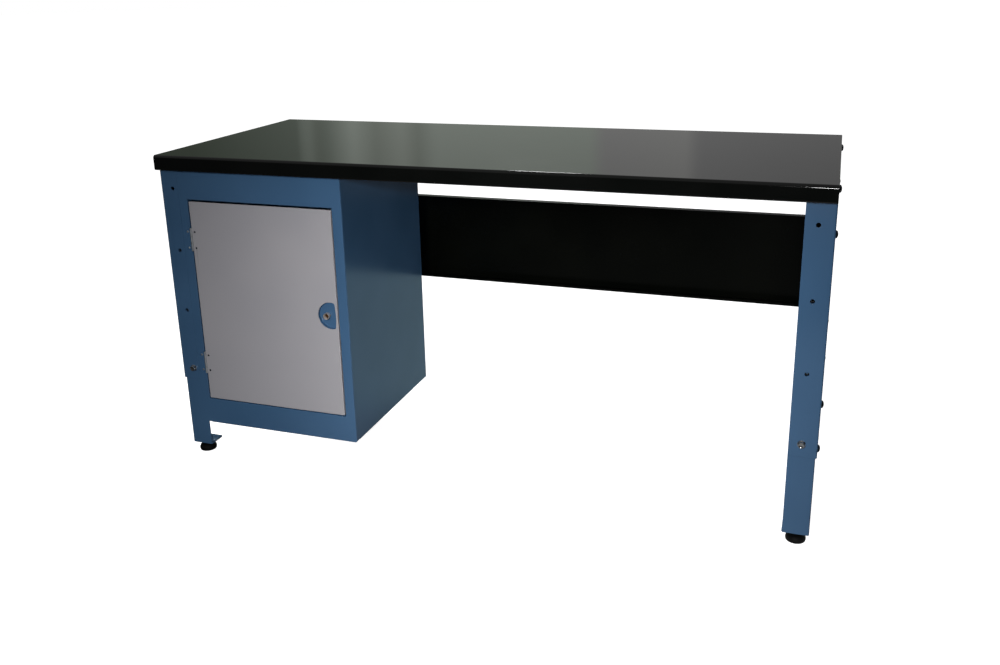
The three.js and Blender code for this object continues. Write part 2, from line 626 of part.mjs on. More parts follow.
function cabinetFloor() {
  const front = LOWER_FLANGE_BACK_Y + PANEL_WALL + SEAT_GAP * 2;
  const sheet = block([INSIDE_LEFT, INSIDE_RIGHT], [front, PANEL_REAR_Y],
    [FLOOR_BOTTOM, FLOOR_BOTTOM + PANEL_WALL]);
  return piece('cabinet_floor', sheet, BLUE_PAINT);
}

/** The shelf: a sheet with a lip folded down at its front, between the ledges. */
function cabinetShelf() {
  const bottom = SHELF_BOTTOM + SEAT_GAP;
  const front = LIP_Y + SHELF_SETBACK - SHELF_WALL - SEAT_GAP;
  const sheet = block([INSIDE_LEFT, INSIDE_RIGHT], [front, PANEL_REAR_Y], [bottom, bottom + SHELF_WALL]);
  const lip = block([INSIDE_LEFT, INSIDE_RIGHT], [front, front + SHELF_WALL],
    [bottom - SHELF_LIP, bottom + SHELF_WALL]);
  return piece('cabinet_shelf', carve([sheet, lip]), BLUE_PAINT);
}

// Door

/** The finger cup's outline: most of a circle, closed by a slightly bowed side near the door's edge. */
function cupOutline(grow) {
  const radius = CUP_RADIUS + grow;
  const chord = CUP_CHORD + grow;
  const half = Math.acos(chord / radius);
  const outline = new THREE.Shape();
  outline.moveTo(CUP_X + chord, CUP_Z + radius * Math.sin(half));
  outline.absarc(CUP_X, CUP_Z, radius, half, Math.PI * 2 - half, false);
  outline.quadraticCurveTo(CUP_X + chord + CUP_BOW * 2, CUP_Z, CUP_X + chord, CUP_Z + radius * Math.sin(half));
  return outline;
}

/** A folded pan: the skin, its four edges and the returns on them. */
function door() {
  const back = FRONT_Y + DOOR_FOLD;
  const skinBack = FRONT_Y + DOOR_WALL;
  const across = [DOOR_LEFT, DOOR_RIGHT];
  const heights = [DOOR_BOTTOM, DOOR_TOP];
  const within = ([low, high], inset) => [low + inset, high - inset];
  const joined = [block(across, [FRONT_Y, back], heights)];
  const removed = [
    block(within(across, DOOR_WALL), [skinBack, back - DOOR_WALL], within(heights, DOOR_WALL)),
    block(within(across, DOOR_RETURN), [skinBack, back + 1], within(heights, DOOR_RETURN)),
    alongY(cupOutline(0), [FRONT_Y - 1, skinBack + 1]),
  ];
  for (const centre of Object.values(HINGE_CENTRES)) {
    const span = hingeSpan(centre, NOTCH_ALLOWANCE);
    removed.push(block([DOOR_LEFT - 1, HINGE_X + KNUCKLE_REACH], [FRONT_Y - 1, skinBack + 1], span));
    removed.push(block([DOOR_LEFT - 1, DOOR_LEFT + DOOR_WALL + 1], [skinBack, LEAF_BACK_Y + HOLE_GAP], span));
    for (const z of rivetHeights(centre)) {
      const place = [HINGE_X + DOOR_RIVET_OFFSET, 0, z];
      removed.push(rod('y', RIVET_RADIUS + RUN_GAP, [FRONT_Y - 1, skinBack + 1], place));
    }
  }
  return piece('door', carve(joined, removed), GREY_PAINT);
}

function lockCup() {
  const joined = [
    alongY(cupOutline(CUP_FLANGE), [CUP_FRONT_Y, CUP_FRONT_Y + CUP_WALL]),
    alongY(cupOutline(CUP_WALL), [CUP_FRONT_Y, CUP_BACK_Y]),
  ];
  const removed = [
    alongY(cupOutline(0), [FRONT_Y, CUP_FLOOR_Y]),
    rod('y', LOCK_BODY_RADIUS + RUN_GAP, [CUP_FLOOR_Y - 1, CUP_BACK_Y + 1], [LOCK_X, 0, LOCK_Z]),
  ];
  return piece('lock_cup', carve(joined, removed), BLUE_PAINT);
}

/** The lock's fixed body: a collar on the cup's floor and a threaded body through it. */
function lockHousing() {
  const centre = [LOCK_X, 0, LOCK_Z];
  const collarBack = CUP_FLOOR_Y - RUN_GAP;
  const joined = [
    rod('y', LOCK_COLLAR_RADIUS, [FRONT_Y, collarBack], centre),
    rod('y', LOCK_BODY_RADIUS, [collarBack - 1, LOCK_BODY_BACK_Y], centre),
  ];
  const bore = rod('y', LOCK_PLUG_RADIUS + RUN_GAP, [FRONT_Y - 1, LOCK_BODY_BACK_Y + 1], centre);
  return piece('lock_housing', carve(joined, [bore]), CHROME);
}

function lockNut() {
  const centre = [LOCK_X, 0, LOCK_Z];
  const front = CUP_BACK_Y + RUN_GAP;
  const hex = rod('y', hexRadius(LOCK_NUT_ACROSS), [front, front + LOCK_NUT_HEIGHT], centre, 6);
  const bore = rod('y', LOCK_BODY_RADIUS + RUN_GAP, [front - 1, front + LOCK_NUT_HEIGHT + 1], centre);
  return piece('lock_nut', carve([hex], [bore]), ZINC);
}

/** The turning plug: a keyhole at its front and a square tang for the cam at its back. */
function lockPlug() {
  const centre = [LOCK_X, 0, LOCK_Z];
  const half = LOCK_TANG / 2;
  const bodyBack = CAM_FRONT_Y - RUN_GAP;
  const tang = block([LOCK_X - half, LOCK_X + half], [bodyBack - SEAT_GAP, CAM_BACK_Y + CAM_WALL],
    [LOCK_Z - half, LOCK_Z + half]);
  const keyhole = block([LOCK_X - KEYHOLE_WIDTH / 2, LOCK_X + KEYHOLE_WIDTH / 2],
    [FRONT_Y - 1, FRONT_Y + KEYHOLE_DEPTH], [LOCK_Z - KEYHOLE_HEIGHT / 2, LOCK_Z + KEYHOLE_HEIGHT / 2]);
  const joined = [rod('y', LOCK_PLUG_RADIUS, [FRONT_Y + SEAT_GAP, bodyBack], centre), tang];
  return piece('lock_plug', carve(joined, [keyhole]), CHROME);
}

/** The cam: a flat bar with round ends that hangs down while the lock is open. */
function lockCam() {
  const half = CAM_WIDTH / 2;
  const outline = new THREE.Shape();
  outline.moveTo(LOCK_X + half, LOCK_Z);
  outline.absarc(LOCK_X, LOCK_Z, half, 0, Math.PI, false);
  outline.absarc(LOCK_X, LOCK_Z - CAM_REACH + half, half, Math.PI, Math.PI * 2, false);
  const reach = LOCK_TANG / 2 + RUN_GAP;
  const hole = block([LOCK_X - reach, LOCK_X + reach], [CAM_FRONT_Y - 1, CAM_BACK_Y + 1],
    [LOCK_Z - reach, LOCK_Z + reach]);
  return piece('lock_cam', carve([alongY(outline, [CAM_FRONT_Y, CAM_BACK_Y])], [hole]), ZINC);
}

// Hinges: rolled leaves behind the sheets, held by rivets whose heads show at the front

/** A rivet set into a leaf: a shank through the sheet, with a low head on the front. */
function rivet(x, z) {
  const seat = FRONT_Y - SHEET_GAP;
  const shank = rod('y', RIVET_RADIUS, [seat - RIVET_HEAD_HEIGHT / 2, LEAF_BACK_Y], [x, 0, z], 12);
  const low = new THREE.CylinderGeometry(RIVET_HEAD_RADIUS, RIVET_HEAD_RADIUS * 0.6, RIVET_HEAD_HEIGHT, 12);
  return [shank, low.translate(x, seat - RIVET_HEAD_HEIGHT / 2, z)];
}

/** One leaf; toward is -1 for the frame's leaf and +1 for the door's. */
function leaf(name, toward, edge, rivetOffset, knuckles, centre) {
  const flatEnd = HINGE_X + toward * (KNUCKLE_REACH + SHEET_GAP * 2);
  const thick = [LEAF_FRONT_Y, LEAF_BACK_Y];
  const joined = [block([edge, flatEnd], thick, hingeSpan(centre, 0))];
  const axis = [HINGE_X, HINGE_Y, 0];
  for (const span of knuckles) {
    joined.push(block([flatEnd, HINGE_X], thick, span));
    joined.push(rod('z', KNUCKLE_RADIUS, span, axis));
  }
  for (const z of rivetHeights(centre)) joined.push(...rivet(HINGE_X + toward * rivetOffset, z));
  const bore = rod('z', KNUCKLE_BORE, hingeSpan(centre, 1), axis);
  return piece(name, carve(joined, [bore]), ZINC);
}

function hinge(label, centre) {
  const third = HINGE_HEIGHT / 6;
  const half = HINGE_HEIGHT / 2;
  const middle = [centre - third + KNUCKLE_GAP / 2, centre + third - KNUCKLE_GAP / 2];
  const lower = [centre - half, centre - third - KNUCKLE_GAP / 2];
  const upper = [centre + third + KNUCKLE_GAP / 2, centre + half];
  const frameEdge = -END_X + LEG_WIDE + HOLE_GAP;
  const frameLeaf = leaf(`hinge_${label}_frame_leaf`, -1, frameEdge, FRAME_RIVET_OFFSET, [lower, upper], centre);
  const doorLeaf = leaf(`hinge_${label}_door_leaf`, 1, HINGE_X + DOOR_LEAF_WIDTH, DOOR_RIVET_OFFSET,
    [middle], centre);
  const headBottom = centre + half + RUN_GAP;
  const shank = rod('z', PIN_RADIUS, [centre - half - RUN_GAP, headBottom + PIN_HEAD_HEIGHT / 2],
    [HINGE_X, HINGE_Y, 0], 12);
  const head = rod('z', PIN_HEAD_RADIUS, [headBottom, headBottom + PIN_HEAD_HEIGHT], [HINGE_X, HINGE_Y, 0], 12);
  const pin = piece(`hinge_${label}_pin`, carve([shank, head]), ZINC);
  return { fixed: group(frameLeaf, pin), moving: doorLeaf };
}

// Assembly

const hinges = Object.entries(HINGE_CENTRES).map(([label, centre]) => hinge(label, centre));
const legs = group(...CORNERS.flatMap((corner) => [upperLeg(corner), lowerLeg(corner), ...legBolts(corner)]));
const feet = group(...CORNERS.map(foot));
const top = group(worktop(), ...topBolts());
const stiffeners = group(...sideRails(), apron());
const cabinet = group(cabinetFrame(), cabinetLeft(), cabinetRight(), cabinetBack(), cabinetFloor(), cabinetShelf(),
  ...hinges.map(({ fixed }) => fixed));
const lock = group(lockPlug(), lockCam());
const swing = group(door(), lockCup(), lockHousing(), lockNut(), lock, ...hinges.map(({ moving }) => moving));

export default group(top, legs, feet, stiffeners, cabinet, swing);
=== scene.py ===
"""Looks of a steel workbench with a lockable one-door cabinet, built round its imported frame.

Sizes are in millimetres until a mesh is made, and the frame's axes hold: +X to the right along the
bench, +Y from the front to the rear, +Z up.
"""

from __future__ import annotations

import logging
import math
from dataclasses import dataclass, field
from enum import Enum
from typing import Any, Sequence

import bmesh
import bpy
import numpy as np
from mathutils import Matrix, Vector
from mathutils.geometry import tessellate_polygon

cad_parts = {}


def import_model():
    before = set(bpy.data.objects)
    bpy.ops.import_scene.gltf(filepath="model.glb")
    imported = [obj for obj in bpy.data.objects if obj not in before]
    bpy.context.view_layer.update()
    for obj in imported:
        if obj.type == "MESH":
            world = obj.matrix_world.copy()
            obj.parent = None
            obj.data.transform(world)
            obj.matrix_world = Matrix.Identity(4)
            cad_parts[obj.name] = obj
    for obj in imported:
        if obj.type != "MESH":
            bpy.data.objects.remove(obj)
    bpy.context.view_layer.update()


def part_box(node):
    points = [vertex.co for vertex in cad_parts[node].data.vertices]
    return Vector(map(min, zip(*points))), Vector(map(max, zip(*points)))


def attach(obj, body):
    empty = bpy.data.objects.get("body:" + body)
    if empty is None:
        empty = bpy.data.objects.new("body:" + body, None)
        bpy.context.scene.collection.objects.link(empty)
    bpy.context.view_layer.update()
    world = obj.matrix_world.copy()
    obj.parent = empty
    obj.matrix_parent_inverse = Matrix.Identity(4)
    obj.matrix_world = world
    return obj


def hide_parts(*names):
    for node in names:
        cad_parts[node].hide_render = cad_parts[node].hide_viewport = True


LOG = logging.getLogger("workbench")
MM = 0.001
WELD = 0.002
SHARP_DEGREES = 34.0
BEVEL_DEGREES = 50.0
ROUND = 48
SMALL_ROUND = 24
BEND_STEPS = 6
HOLE_MARGIN = 4.0
WHITE = (1.0, 1.0, 1.0, 1.0)
ENDS = ("left", "right")
ROWS = ("upper", "lower")

Array = np.ndarray
Point = tuple[float, float, float]


class Axis(Enum):
    """The axis that a section is carried along; the section lies in the next two axes."""

    X = 0
    Y = 1
    Z = 2

    @property
    def section(self) -> tuple[int, int]:
        """The indices of the two axes that the section lies in."""
        return (self.value + 1) % 3, (self.value + 2) % 3


def linear(code: str) -> tuple[float, float, float, float]:
    """Turn an sRGB hex colour into linear light.

    Args:
        code: six hex digits with a leading hash.

    Returns:
        Red, green, blue and an alpha of one.
    """
    srgb = np.array([int(code[i : i + 2], 16) for i in (1, 3, 5)]) / 255.0
    light = np.where(srgb <= 0.04045, srgb / 12.92, ((srgb + 0.055) / 1.055) ** 2.4)
    return (*map(float, light), 1.0)


def node_box(name: str) -> tuple[Array, Array]:
    """The lowest and highest corner of a node of the frame, in millimetres."""
    low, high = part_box(name)
    return np.array(low) / MM, np.array(high) / MM


def middle(name: str) -> Array:
    """The middle of a node's box, in millimetres."""
    low, high = node_box(name)
    return (low + high) / 2


# Lines and sections


def pairs(first: Array, second: Array) -> Array:
    """Points whose two coordinates come from two arrays."""
    return np.stack([first, second], axis=-1)


def circle(centre: Sequence[float], radius: float, steps: int = 32) -> Array:
    """A loop of points evenly round a circle, anticlockwise."""
    turn = np.linspace(0.0, 2.0 * np.pi, steps, endpoint=False)
    return np.asarray(centre) + radius * pairs(np.cos(turn), np.sin(turn))


def rectangle(low: Sequence[float], high: Sequence[float]) -> Array:
    """The four corners of a rectangle, anticlockwise from its lowest corner."""
    return np.array([[low[0], low[1]], [high[0], low[1]], [high[0], high[1]], [low[0], high[1]]], float)


def centred(centre: Sequence[float], half: float | Sequence[float]) -> Array:
    """A rectangle about its centre, from half its size."""
    return rectangle(np.subtract(centre, half), np.add(centre, half))


def quarter_bend(radius: float, steps: int = BEND_STEPS) -> tuple[Array, Array]:
    """A quarter bend from one face to the next: its distance from each.

    At angle a these are radius times 1 - cos(a), and radius times 1 - sin(a).

    Args:
        radius: the bend's outer radius.
        steps: how many points.

    Returns:
        The two distances at each point.
    """
    turn = np.linspace(0, np.pi / 2, steps)
    return radius * (1 - np.cos(turn)), radius * (1 - np.sin(turn))


def fillet(corners: Array, radius: float | Array, closed: bool = False, steps: int = 5) -> Array:
    """Round the corners of a polyline with tangent arcs.

    At a corner with unit directions a and b to its neighbours, half of whose angle is h, the arc's
    centre lies radius / sin(h) along a + b, and the arc runs between the points radius / tan(h)
    along a and along b, by spherical interpolation about the centre.

    Args:
        corners: the polyline, shape (n, 2).
        radius: one radius, or one for each rounded corner.
        closed: whether the last corner joins the first.
        steps: segments in each arc.

    Returns:
        The rounded polyline, with its two ends kept if it is open.
    """
    corners = np.asarray(corners, float)
    before, here, after = np.roll(corners, 1, 0), corners, np.roll(corners, -1, 0)
    if not closed:
        before, here, after = before[1:-1], here[1:-1], after[1:-1]
    to_before = (before - here) / np.linalg.norm(before - here, axis=1, keepdims=True)
    to_after = (after - here) / np.linalg.norm(after - here, axis=1, keepdims=True)
    half = np.arccos(np.clip((to_before * to_after).sum(1), -1, 1))[:, None] / 2
    size = np.broadcast_to(np.asarray(radius, float), (len(here),))[:, None]
    inward = to_before + to_after
    inward /= np.linalg.norm(inward, axis=1, keepdims=True)
    centre = here + inward * size / np.sin(half)
    first = here + to_before * size / np.tan(half) - centre
    last = here + to_after * size / np.tan(half) - centre
    sweep = (np.pi - 2 * half)[:, None]
    share = np.linspace(0, 1, steps + 1)[None, :, None]
    arcs = np.sin((1 - share) * sweep) * first[:, None] + np.sin(share * sweep) * last[:, None]
    rounded = (centre[:, None] + arcs / np.sin(sweep)).reshape(-1, 2)
    if closed:
        return rounded
    return np.concatenate([corners[:1], rounded, corners[-1:]])


def lifted(section: Array, axis: Axis, along: float | Array) -> Array:
    """Put two-dimensional points into space.

    Args:
        section: points in the axis's section plane, shape (..., 2).
        axis: the axis across that plane.
        along: the coordinate on that axis, one value or one for each point.

    Returns:
        Points of shape (..., 3).
    """
    points = np.empty(section.shape[:-1] + (3,))
    first, second = axis.section
    points[..., axis.value] = along
    points[..., first] = section[..., 0]
    points[..., second] = section[..., 1]
    return points


def hexagon(across: float, angle: Array) -> Array:
    """The radius of a hexagon at an angle: half its width divided by the cosine to the nearest flat."""
    third = math.pi / 3
    return across / 2 / np.cos((angle + third / 2) % third - third / 2)


class Skin:
    """A surface gathered from grids, flat panels and turned rows, and welded into one mesh."""

    def __init__(self) -> None:
        """Start with no points and no faces."""
        self._points: list[Array] = []
        self._faces: list[list[int]] = []
        self._count = 0

    def _keep(self, points: Array) -> int:
        """Store points.

        Args:
            points: shape (..., 3).

        Returns:
            The index of the first.
        """
        first = self._count
        self._points.append(points.reshape(-1, 3))
        self._count += points.size // 3
        return first

    def grid(self, points: Array, loop_u: bool = False, loop_v: bool = False,
             skip: Array | None = None) -> Skin:
        """Join neighbours of a grid of points with quads.

        Args:
            points: shape (u, v, 3).
            loop_u: whether the last row joins the first.
            loop_v: whether the last column joins the first.
            skip: cells to leave open, one flag for each cell.

        Returns:
            The skin itself.
        """
        rows, columns = points.shape[:2]
        index = self._keep(points) + np.arange(rows * columns).reshape(rows, columns)
        if loop_u:
            index = np.vstack([index, index[:1]])
        if loop_v:
            index = np.hstack([index, index[:, :1]])
        quads = np.stack([index[:-1, :-1], index[1:, :-1], index[1:, 1:], index[:-1, 1:]], axis=-1)
        chosen = quads.reshape(-1, 4) if skip is None else quads[~skip]
        self._faces += chosen.tolist()
        return self

    def wall(self, loop: Array, axis: Axis, ends: Sequence[float]) -> Skin:
        """Carry a closed loop straight between two places on an axis."""
        return self.grid(lifted(np.stack([loop, loop]), axis, np.reshape(ends, (2, 1))), loop_v=True)

    def fill(self, loops: Sequence[Array], points: Array) -> Skin:
        """Fill a flat outline, less its holes, with triangles.

        Args:
            loops: the outline and then each hole, worked out flat.
            points: where the loops' points lie in space, in the same order.

        Returns:
            The skin itself.
        """
        flat = [[Vector((*corner, 0.0)) for corner in loop.tolist()] for loop in loops]
        triangles = np.array(tessellate_polygon(flat)) + self._keep(points)
        self._faces += triangles.tolist()
        return self

    def panel(self, loops: Sequence[Array], axis: Axis, along: float) -> Skin:
        """Fill an outline, less its holes, in the section plane at a place on an axis."""
        return self.fill(loops, lifted(np.concatenate(loops), axis, along))

    def turned(self, radii: Array, heights: Array, origin: Sequence[float], along: Sequence[float],
               steps: int = ROUND, ring: bool = False) -> Skin:
        """Turn a profile about an axis.

        The point at angle a in row k is the origin, plus the row's height along the axis, plus its
        radius along cos(a) times one cross direction and sin(a) times the other.

        Args:
            radii: radius of each row, or of each row at each angle, shape (steps, rows).
            heights: height of each row, in either shape.
            origin: a point on the axis, at height zero.
            along: the axis's unit direction.
            steps: points round each row.
            ring: whether the last row joins the first, as on a nut.

        Returns:
            The skin itself.
        """
        turn = np.linspace(0, 2 * np.pi, steps, endpoint=False)[:, None, None]
        up = np.asarray(along, float)
        side = np.roll(np.abs(up), 1)
        over = np.cross(up, side)
        wide, high = (
            np.broadcast_to(row, (steps, np.shape(row)[-1]))[..., None] for row in (radii, heights))
        points = np.asarray(origin) + high * up + wide * (np.cos(turn) * side + np.sin(turn) * over)
        return self.grid(points, loop_u=True, loop_v=ring)

    def mesh(self, name: str, outside: Sequence[float] | None) -> bpy.types.Mesh:
        """Weld the surface, turn its faces outwards and mark its sharp edges.

        Args:
            name: the mesh's name.
            outside: the way that an open sheet mostly faces, or None for a closed shell.

        Returns:
            A smooth mesh in metres.
        """
        mesh = bpy.data.meshes.new(name)
        mesh.from_pydata((np.concatenate(self._points) * MM).tolist(), [], self._faces)
        work = bmesh.new()
        work.from_mesh(mesh)
        bmesh.ops.remove_doubles(work, verts=work.verts, dist=WELD * MM)
        bmesh.ops.recalc_face_normals(work, faces=work.faces)
        if outside is not None:
            lean = sum(face.normal.dot(Vector(outside)) * face.calc_area() for face in work.faces)
            if lean < 0:
                bmesh.ops.reverse_faces(work, faces=work.faces)
        work.to_mesh(mesh)
        work.free()
        mesh.shade_smooth()
        mesh.set_sharp_from_angle(angle=math.radians(SHARP_DEGREES))
        return mesh


# Finishes


def add(tree: bpy.types.NodeTree, kind: str, inputs: dict[str | int, Any] | None = None,
        **settings: Any) -> bpy.types.NodeOutputs:
    """Add a shader node with its settings and links.

    Args:
        tree: the node tree.
        kind: the node's type, less its prefix.
        inputs: a value, or an output to link, for each named or numbered input.
        settings: properties of the node.

    Returns:
        The node's outputs.
    """
    node = tree.nodes.new(f"ShaderNode{kind}")
    for key, value in settings.items():
        setattr(node, key, value)
    for key, value in (inputs or {}).items():
        if isinstance(value, bpy.types.NodeSocket):
            tree.links.new(value, node.inputs[key])
        else:
            node.inputs[key].default_value = value
    return node.outputs


def blank(name: str) -> bpy.types.Material:
    """Make a material with an empty node tree.

    Args:
        name: its name.

    Returns:
        The material.
    """
    material = bpy.data.materials.new(name)
    material.use_nodes = True
    material.node_tree.nodes.clear()
    return material


@dataclass(frozen=True)
class Finish:
    """A surface finish: a deep and a light tone that drift into each other, with its own relief.

    Scales are the real size of each pattern in millimetres, as the noise takes one cell per unit.
    """

    name: str
    slot: str
    deep: str
    light: str
    roughness: tuple[float, float]
    drift_mm: float
    grain_mm: float
    grain_depth_mm: float
    metallic: float = 0.0
    ior: float = 1.5
    tone_span: tuple[float, float] = (0.3, 0.7)
    gloss_span: tuple[float, float] = (0.4, 0.95)
    grain_share: float = 0.35

    def material(self) -> bpy.types.Material:
        """Make the finish's material, or find it if it is made.

        Returns:
            The material.
        """
        made = bpy.data.materials.get(self.name)
        if made is None:
            made = blank(self.name)
            self.wire(made.node_tree)
        return made

    def wire(self, tree: bpy.types.NodeTree) -> None:
        """Build the nodes.

        Slow noise mixes the two tones and moves the roughness between its limits. Fine noise is the
        grain: it mottles the roughness and lifts the surface.

        Args:
            tree: the material's empty node tree.
        """
        place = add(tree, "TexCoord")["Object"]
        drift, grain = (add(tree, "TexNoise", {
            "Vector": place, "Scale": 1 / (size * MM), "Detail": detail})["Fac"]
            for size, detail in ((self.drift_mm, 1.5), (self.grain_mm, 2.0)))
        tone = add(tree, "MapRange", {
            "Value": drift, "From Min": self.tone_span[0], "From Max": self.tone_span[1]})[0]
        deep, light = linear(self.deep), linear(self.light)
        colour = add(tree, "Mix", {0: tone, 6: deep, 7: light}, data_type="RGBA")[2]
        mottle = add(tree, "Math", {
            0: grain, 1: self.grain_share, 2: drift}, operation="MULTIPLY_ADD")[0]
        gloss = add(tree, "MapRange", {
            "Value": mottle, "From Min": self.gloss_span[0], "From Max": self.gloss_span[1],
            "To Min": self.roughness[0], "To Max": self.roughness[1]})[0]
        relief = add(tree, "Bump", {
            "Strength": 1.0, "Distance": self.grain_depth_mm * MM, "Height": grain})[0]
        shader = add(tree, "BsdfPrincipled", {
            "Base Color": colour, "Roughness": gloss, "Metallic": self.metallic, "IOR": self.ior,
            "Normal": relief})[0]
        add(tree, "OutputMaterial", {"Surface": shader})


# High-pressure laminate, press-finished: near black, smooth enough to mirror a room at a low angle,
# with faint wipe marks in the gloss.
LAMINATE = Finish("black_laminate_satin", "black_laminate", "#050605", "#090a09", (0.06, 0.1), 140, 3.0,
                  0.0015)
# Phenolic balancing sheet on the board's underside: dull brown-black kraft paper.
BACKER = Finish("kraft_backer_sheet", "black_laminate", "#231d18", "#332b24", (0.6, 0.75), 60, 1.2, 0.02)
# Powder coat on steel sheet: semi-gloss, with the slight orange peel of paint that flowed in the oven.
BLUE = Finish("blue_powder_coat", "blue_paint", "#355270", "#3b5978", (0.16, 0.22), 220, 2.2, 0.006)
GREY = Finish("grey_powder_coat", "grey_paint", "#908f94", "#979599", (0.42, 0.52), 260, 1.6, 0.006)
BLACK = Finish("black_powder_coat", "black_paint", "#030403", "#060705", (0.22, 0.32), 200, 1.8, 0.006,
               ior=1.18)
# Injection-moulded nylon: matt black with a spark-eroded grain.
NYLON = Finish("moulded_black_nylon", "black_plastic", "#050505", "#0a0a0a", (0.45, 0.6), 30, 0.7, 0.012,
               ior=1.35)
# Zinc plate: cool grey metal under a faint cloudy bloom.
ZINC = Finish("clouded_zinc_plate", "zinc", "#c0c6c9", "#d6dbde", (0.26, 0.38), 9, 0.8, 0.002, 0.9)
# Bright drawn steel of the bolts, greyed by a thin passivation.
STEEL = Finish("passivated_bolt_steel", "zinc", "#a6a9ab", "#bcbfc1", (0.18, 0.28), 6, 0.6, 0.001, 1.0)
# Blackened steel: oiled black oxide, dark with a low sheen.
OXIDE = Finish("blackened_steel", "dark_steel", "#23262d", "#343841", (0.28, 0.42), 12, 0.6, 0.003, 1.0)
# Darkened brass of the plug: brown and dull where keys have handled it.
BRASS = Finish("darkened_brass", "dark_steel", "#4a2f18", "#6d4825", (0.35, 0.5), 4, 0.4, 0.004, 0.6)
# Nickel plate on die-cast zinc, dulled by keys until it scatters about half of its light.
NICKEL = Finish("dulled_nickel_plate", "chrome", "#bdb6b1", "#d0c9c4", (0.24, 0.36), 8, 0.5, 0.0008, 0.6)


@dataclass(frozen=True)
class Sheet:
    """A folded sheet: its thickness, the way that it mostly faces and its cut edges' rounding."""

    gauge: float
    facing: Point
    edge: float = 0.25


def make_piece(skin: Skin, name: str, finish: Finish, node: str = "", body: str = "bench",
               sheet: Sheet | None = None) -> bpy.types.Object:
    """Turn a skin into a finished piece that rides on a body.

    Args:
        skin: the surface, in millimetres.
        name: the piece's name.
        finish: its finish.
        node: the node of the frame that it stands for, if there is one.
        body: the body that carries it.
        sheet: the sheet, where the skin is only a sheet's outer face.

    Returns:
        The object.
    """
    piece = bpy.data.objects.new(name, skin.mesh(name, sheet.facing if sheet else None))
    bpy.context.scene.collection.objects.link(piece)
    piece.data.materials.append(finish.material())
    if sheet:
        wall = piece.modifiers.new("gauge", "SOLIDIFY")
        wall.thickness = sheet.gauge * MM
        wall.offset = -1.0
        wall.use_even_offset = True
        edge = piece.modifiers.new("edge", "BEVEL")
        edge.width = sheet.edge * MM
        edge.segments = 2
        edge.limit_method = "ANGLE"
        edge.angle_limit = math.radians(BEVEL_DEGREES)
    even = piece.modifiers.new("even", "WEIGHTED_NORMAL")
    even.keep_sharp = True
    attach(piece, body)
    if node:
        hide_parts(node)
    LOG.info("%s: %d faces on %s", name, len(piece.data.polygons), body)
    return piece


@dataclass(frozen=True)
class Hole:
    """A round hole in a folded sheet: a point of its section, a place along its axis and a radius."""

    point: tuple[float, float]
    along: float
    radius: float


def cuts(span: Sequence[float], middles: Array, reach: Array) -> Array:
    """The places where a strip is cut: its two ends, and each hole's middle less and plus its reach."""
    return np.unique(np.round(np.concatenate([span, middles - reach, middles + reach]), 6))


def fold(skin: Skin, axis: Axis, path: Array, span: tuple[float, float],
         holes: Sequence[Hole] = ()) -> Skin:
    """Carry a bent line along an axis, as a sheet folded along parallel lines, with punched holes.

    Each straight run of the line is a flat strip as long as the span, cut into a grid by its developed
    length and the place along the axis. The cell round each hole is filled as a square less a circle.

    Args:
        skin: where the surface goes.
        axis: the axis of the folds.
        path: the sheet's outer face in section, shape (n, 2), with its bends as short runs.
        span: the sheet's two ends on the axis.
        holes: the holes.

    Returns:
        The skin.
    """
    runs = np.diff(path, axis=0)
    lengths = np.linalg.norm(runs, axis=1)
    centres = np.array([hole.point for hole in holes], float).reshape(-1, 1, 2)
    share = ((centres - path[:-1]) * runs).sum(-1) / lengths**2
    miss = np.linalg.norm(centres - path[:-1] - np.clip(share, 0, 1)[..., None] * runs, axis=-1)
    owner = miss.argmin(1) if len(holes) else np.zeros(0, int)
    reach = np.array([hole.radius + HOLE_MARGIN for hole in holes])
    along = np.array([hole.along for hole in holes], float)
    rows = cuts(span, along, reach)
    for run, length in enumerate(lengths):
        mine = np.flatnonzero(owner == run)
        spots = share[mine, run] * length
        columns = cuts((0.0, length), spots, reach[mine])
        section = path[run] + columns[:, None] / length * runs[run]
        middle_u, middle_v = ((line[1:] + line[:-1]) / 2 for line in (columns, rows))
        near_u = np.abs(middle_u[None, :] - spots[:, None]) < reach[mine, None]
        near_v = np.abs(middle_v[None, :] - along[mine, None]) < reach[mine, None]
        skip = (near_u[:, :, None] & near_v[:, None, :]).any(0)
        skin.grid(lifted(section[:, None].repeat(len(rows), axis=1), axis, rows[None, :]), skip=skip)
        for i, spot in zip(mine, spots):
            centre = (spot, along[i])
            loops = [centred(centre, reach[i]), circle(centre, holes[i].radius)]
            flat = np.concatenate(loops)
            skin.fill(loops, lifted(path[run] + flat[:, :1] / length * runs[run], axis, flat[:, 1]))
    return skin


# Fasteners


@dataclass(frozen=True)
class Thread:
    """A rolled thread: its outer radius, pitch and depth."""

    radius: float = 5.0
    pitch: float = 1.5
    depth: float = 0.7
    rows_per_turn: int = 6

    def rows(self, bottom: float, top: float, steps: int) -> tuple[Array, Array]:
        """Rows of a threaded rod.

        The radius falls from the crest by the depth times a triangle wave of the height less the
        pitch's share of the turn.

        Args:
            bottom: lowest height.
            top: highest height.
            steps: points round the rod.

        Returns:
            Radii and heights, each of shape (steps, rows).
        """
        count = max(2, int((top - bottom) / self.pitch * self.rows_per_turn))
        heights = np.linspace(bottom, top, count)[None, :].repeat(steps, 0)
        turn = np.linspace(0, 1, steps, endpoint=False)[:, None]
        wave = np.abs(((heights / self.pitch - turn) % 1.0) * 2 - 1)
        return self.radius - self.depth * wave, heights


class Head(Enum):
    """The kinds of bolt head, by finish."""

    DOME = OXIDE
    HEXAGON = STEEL


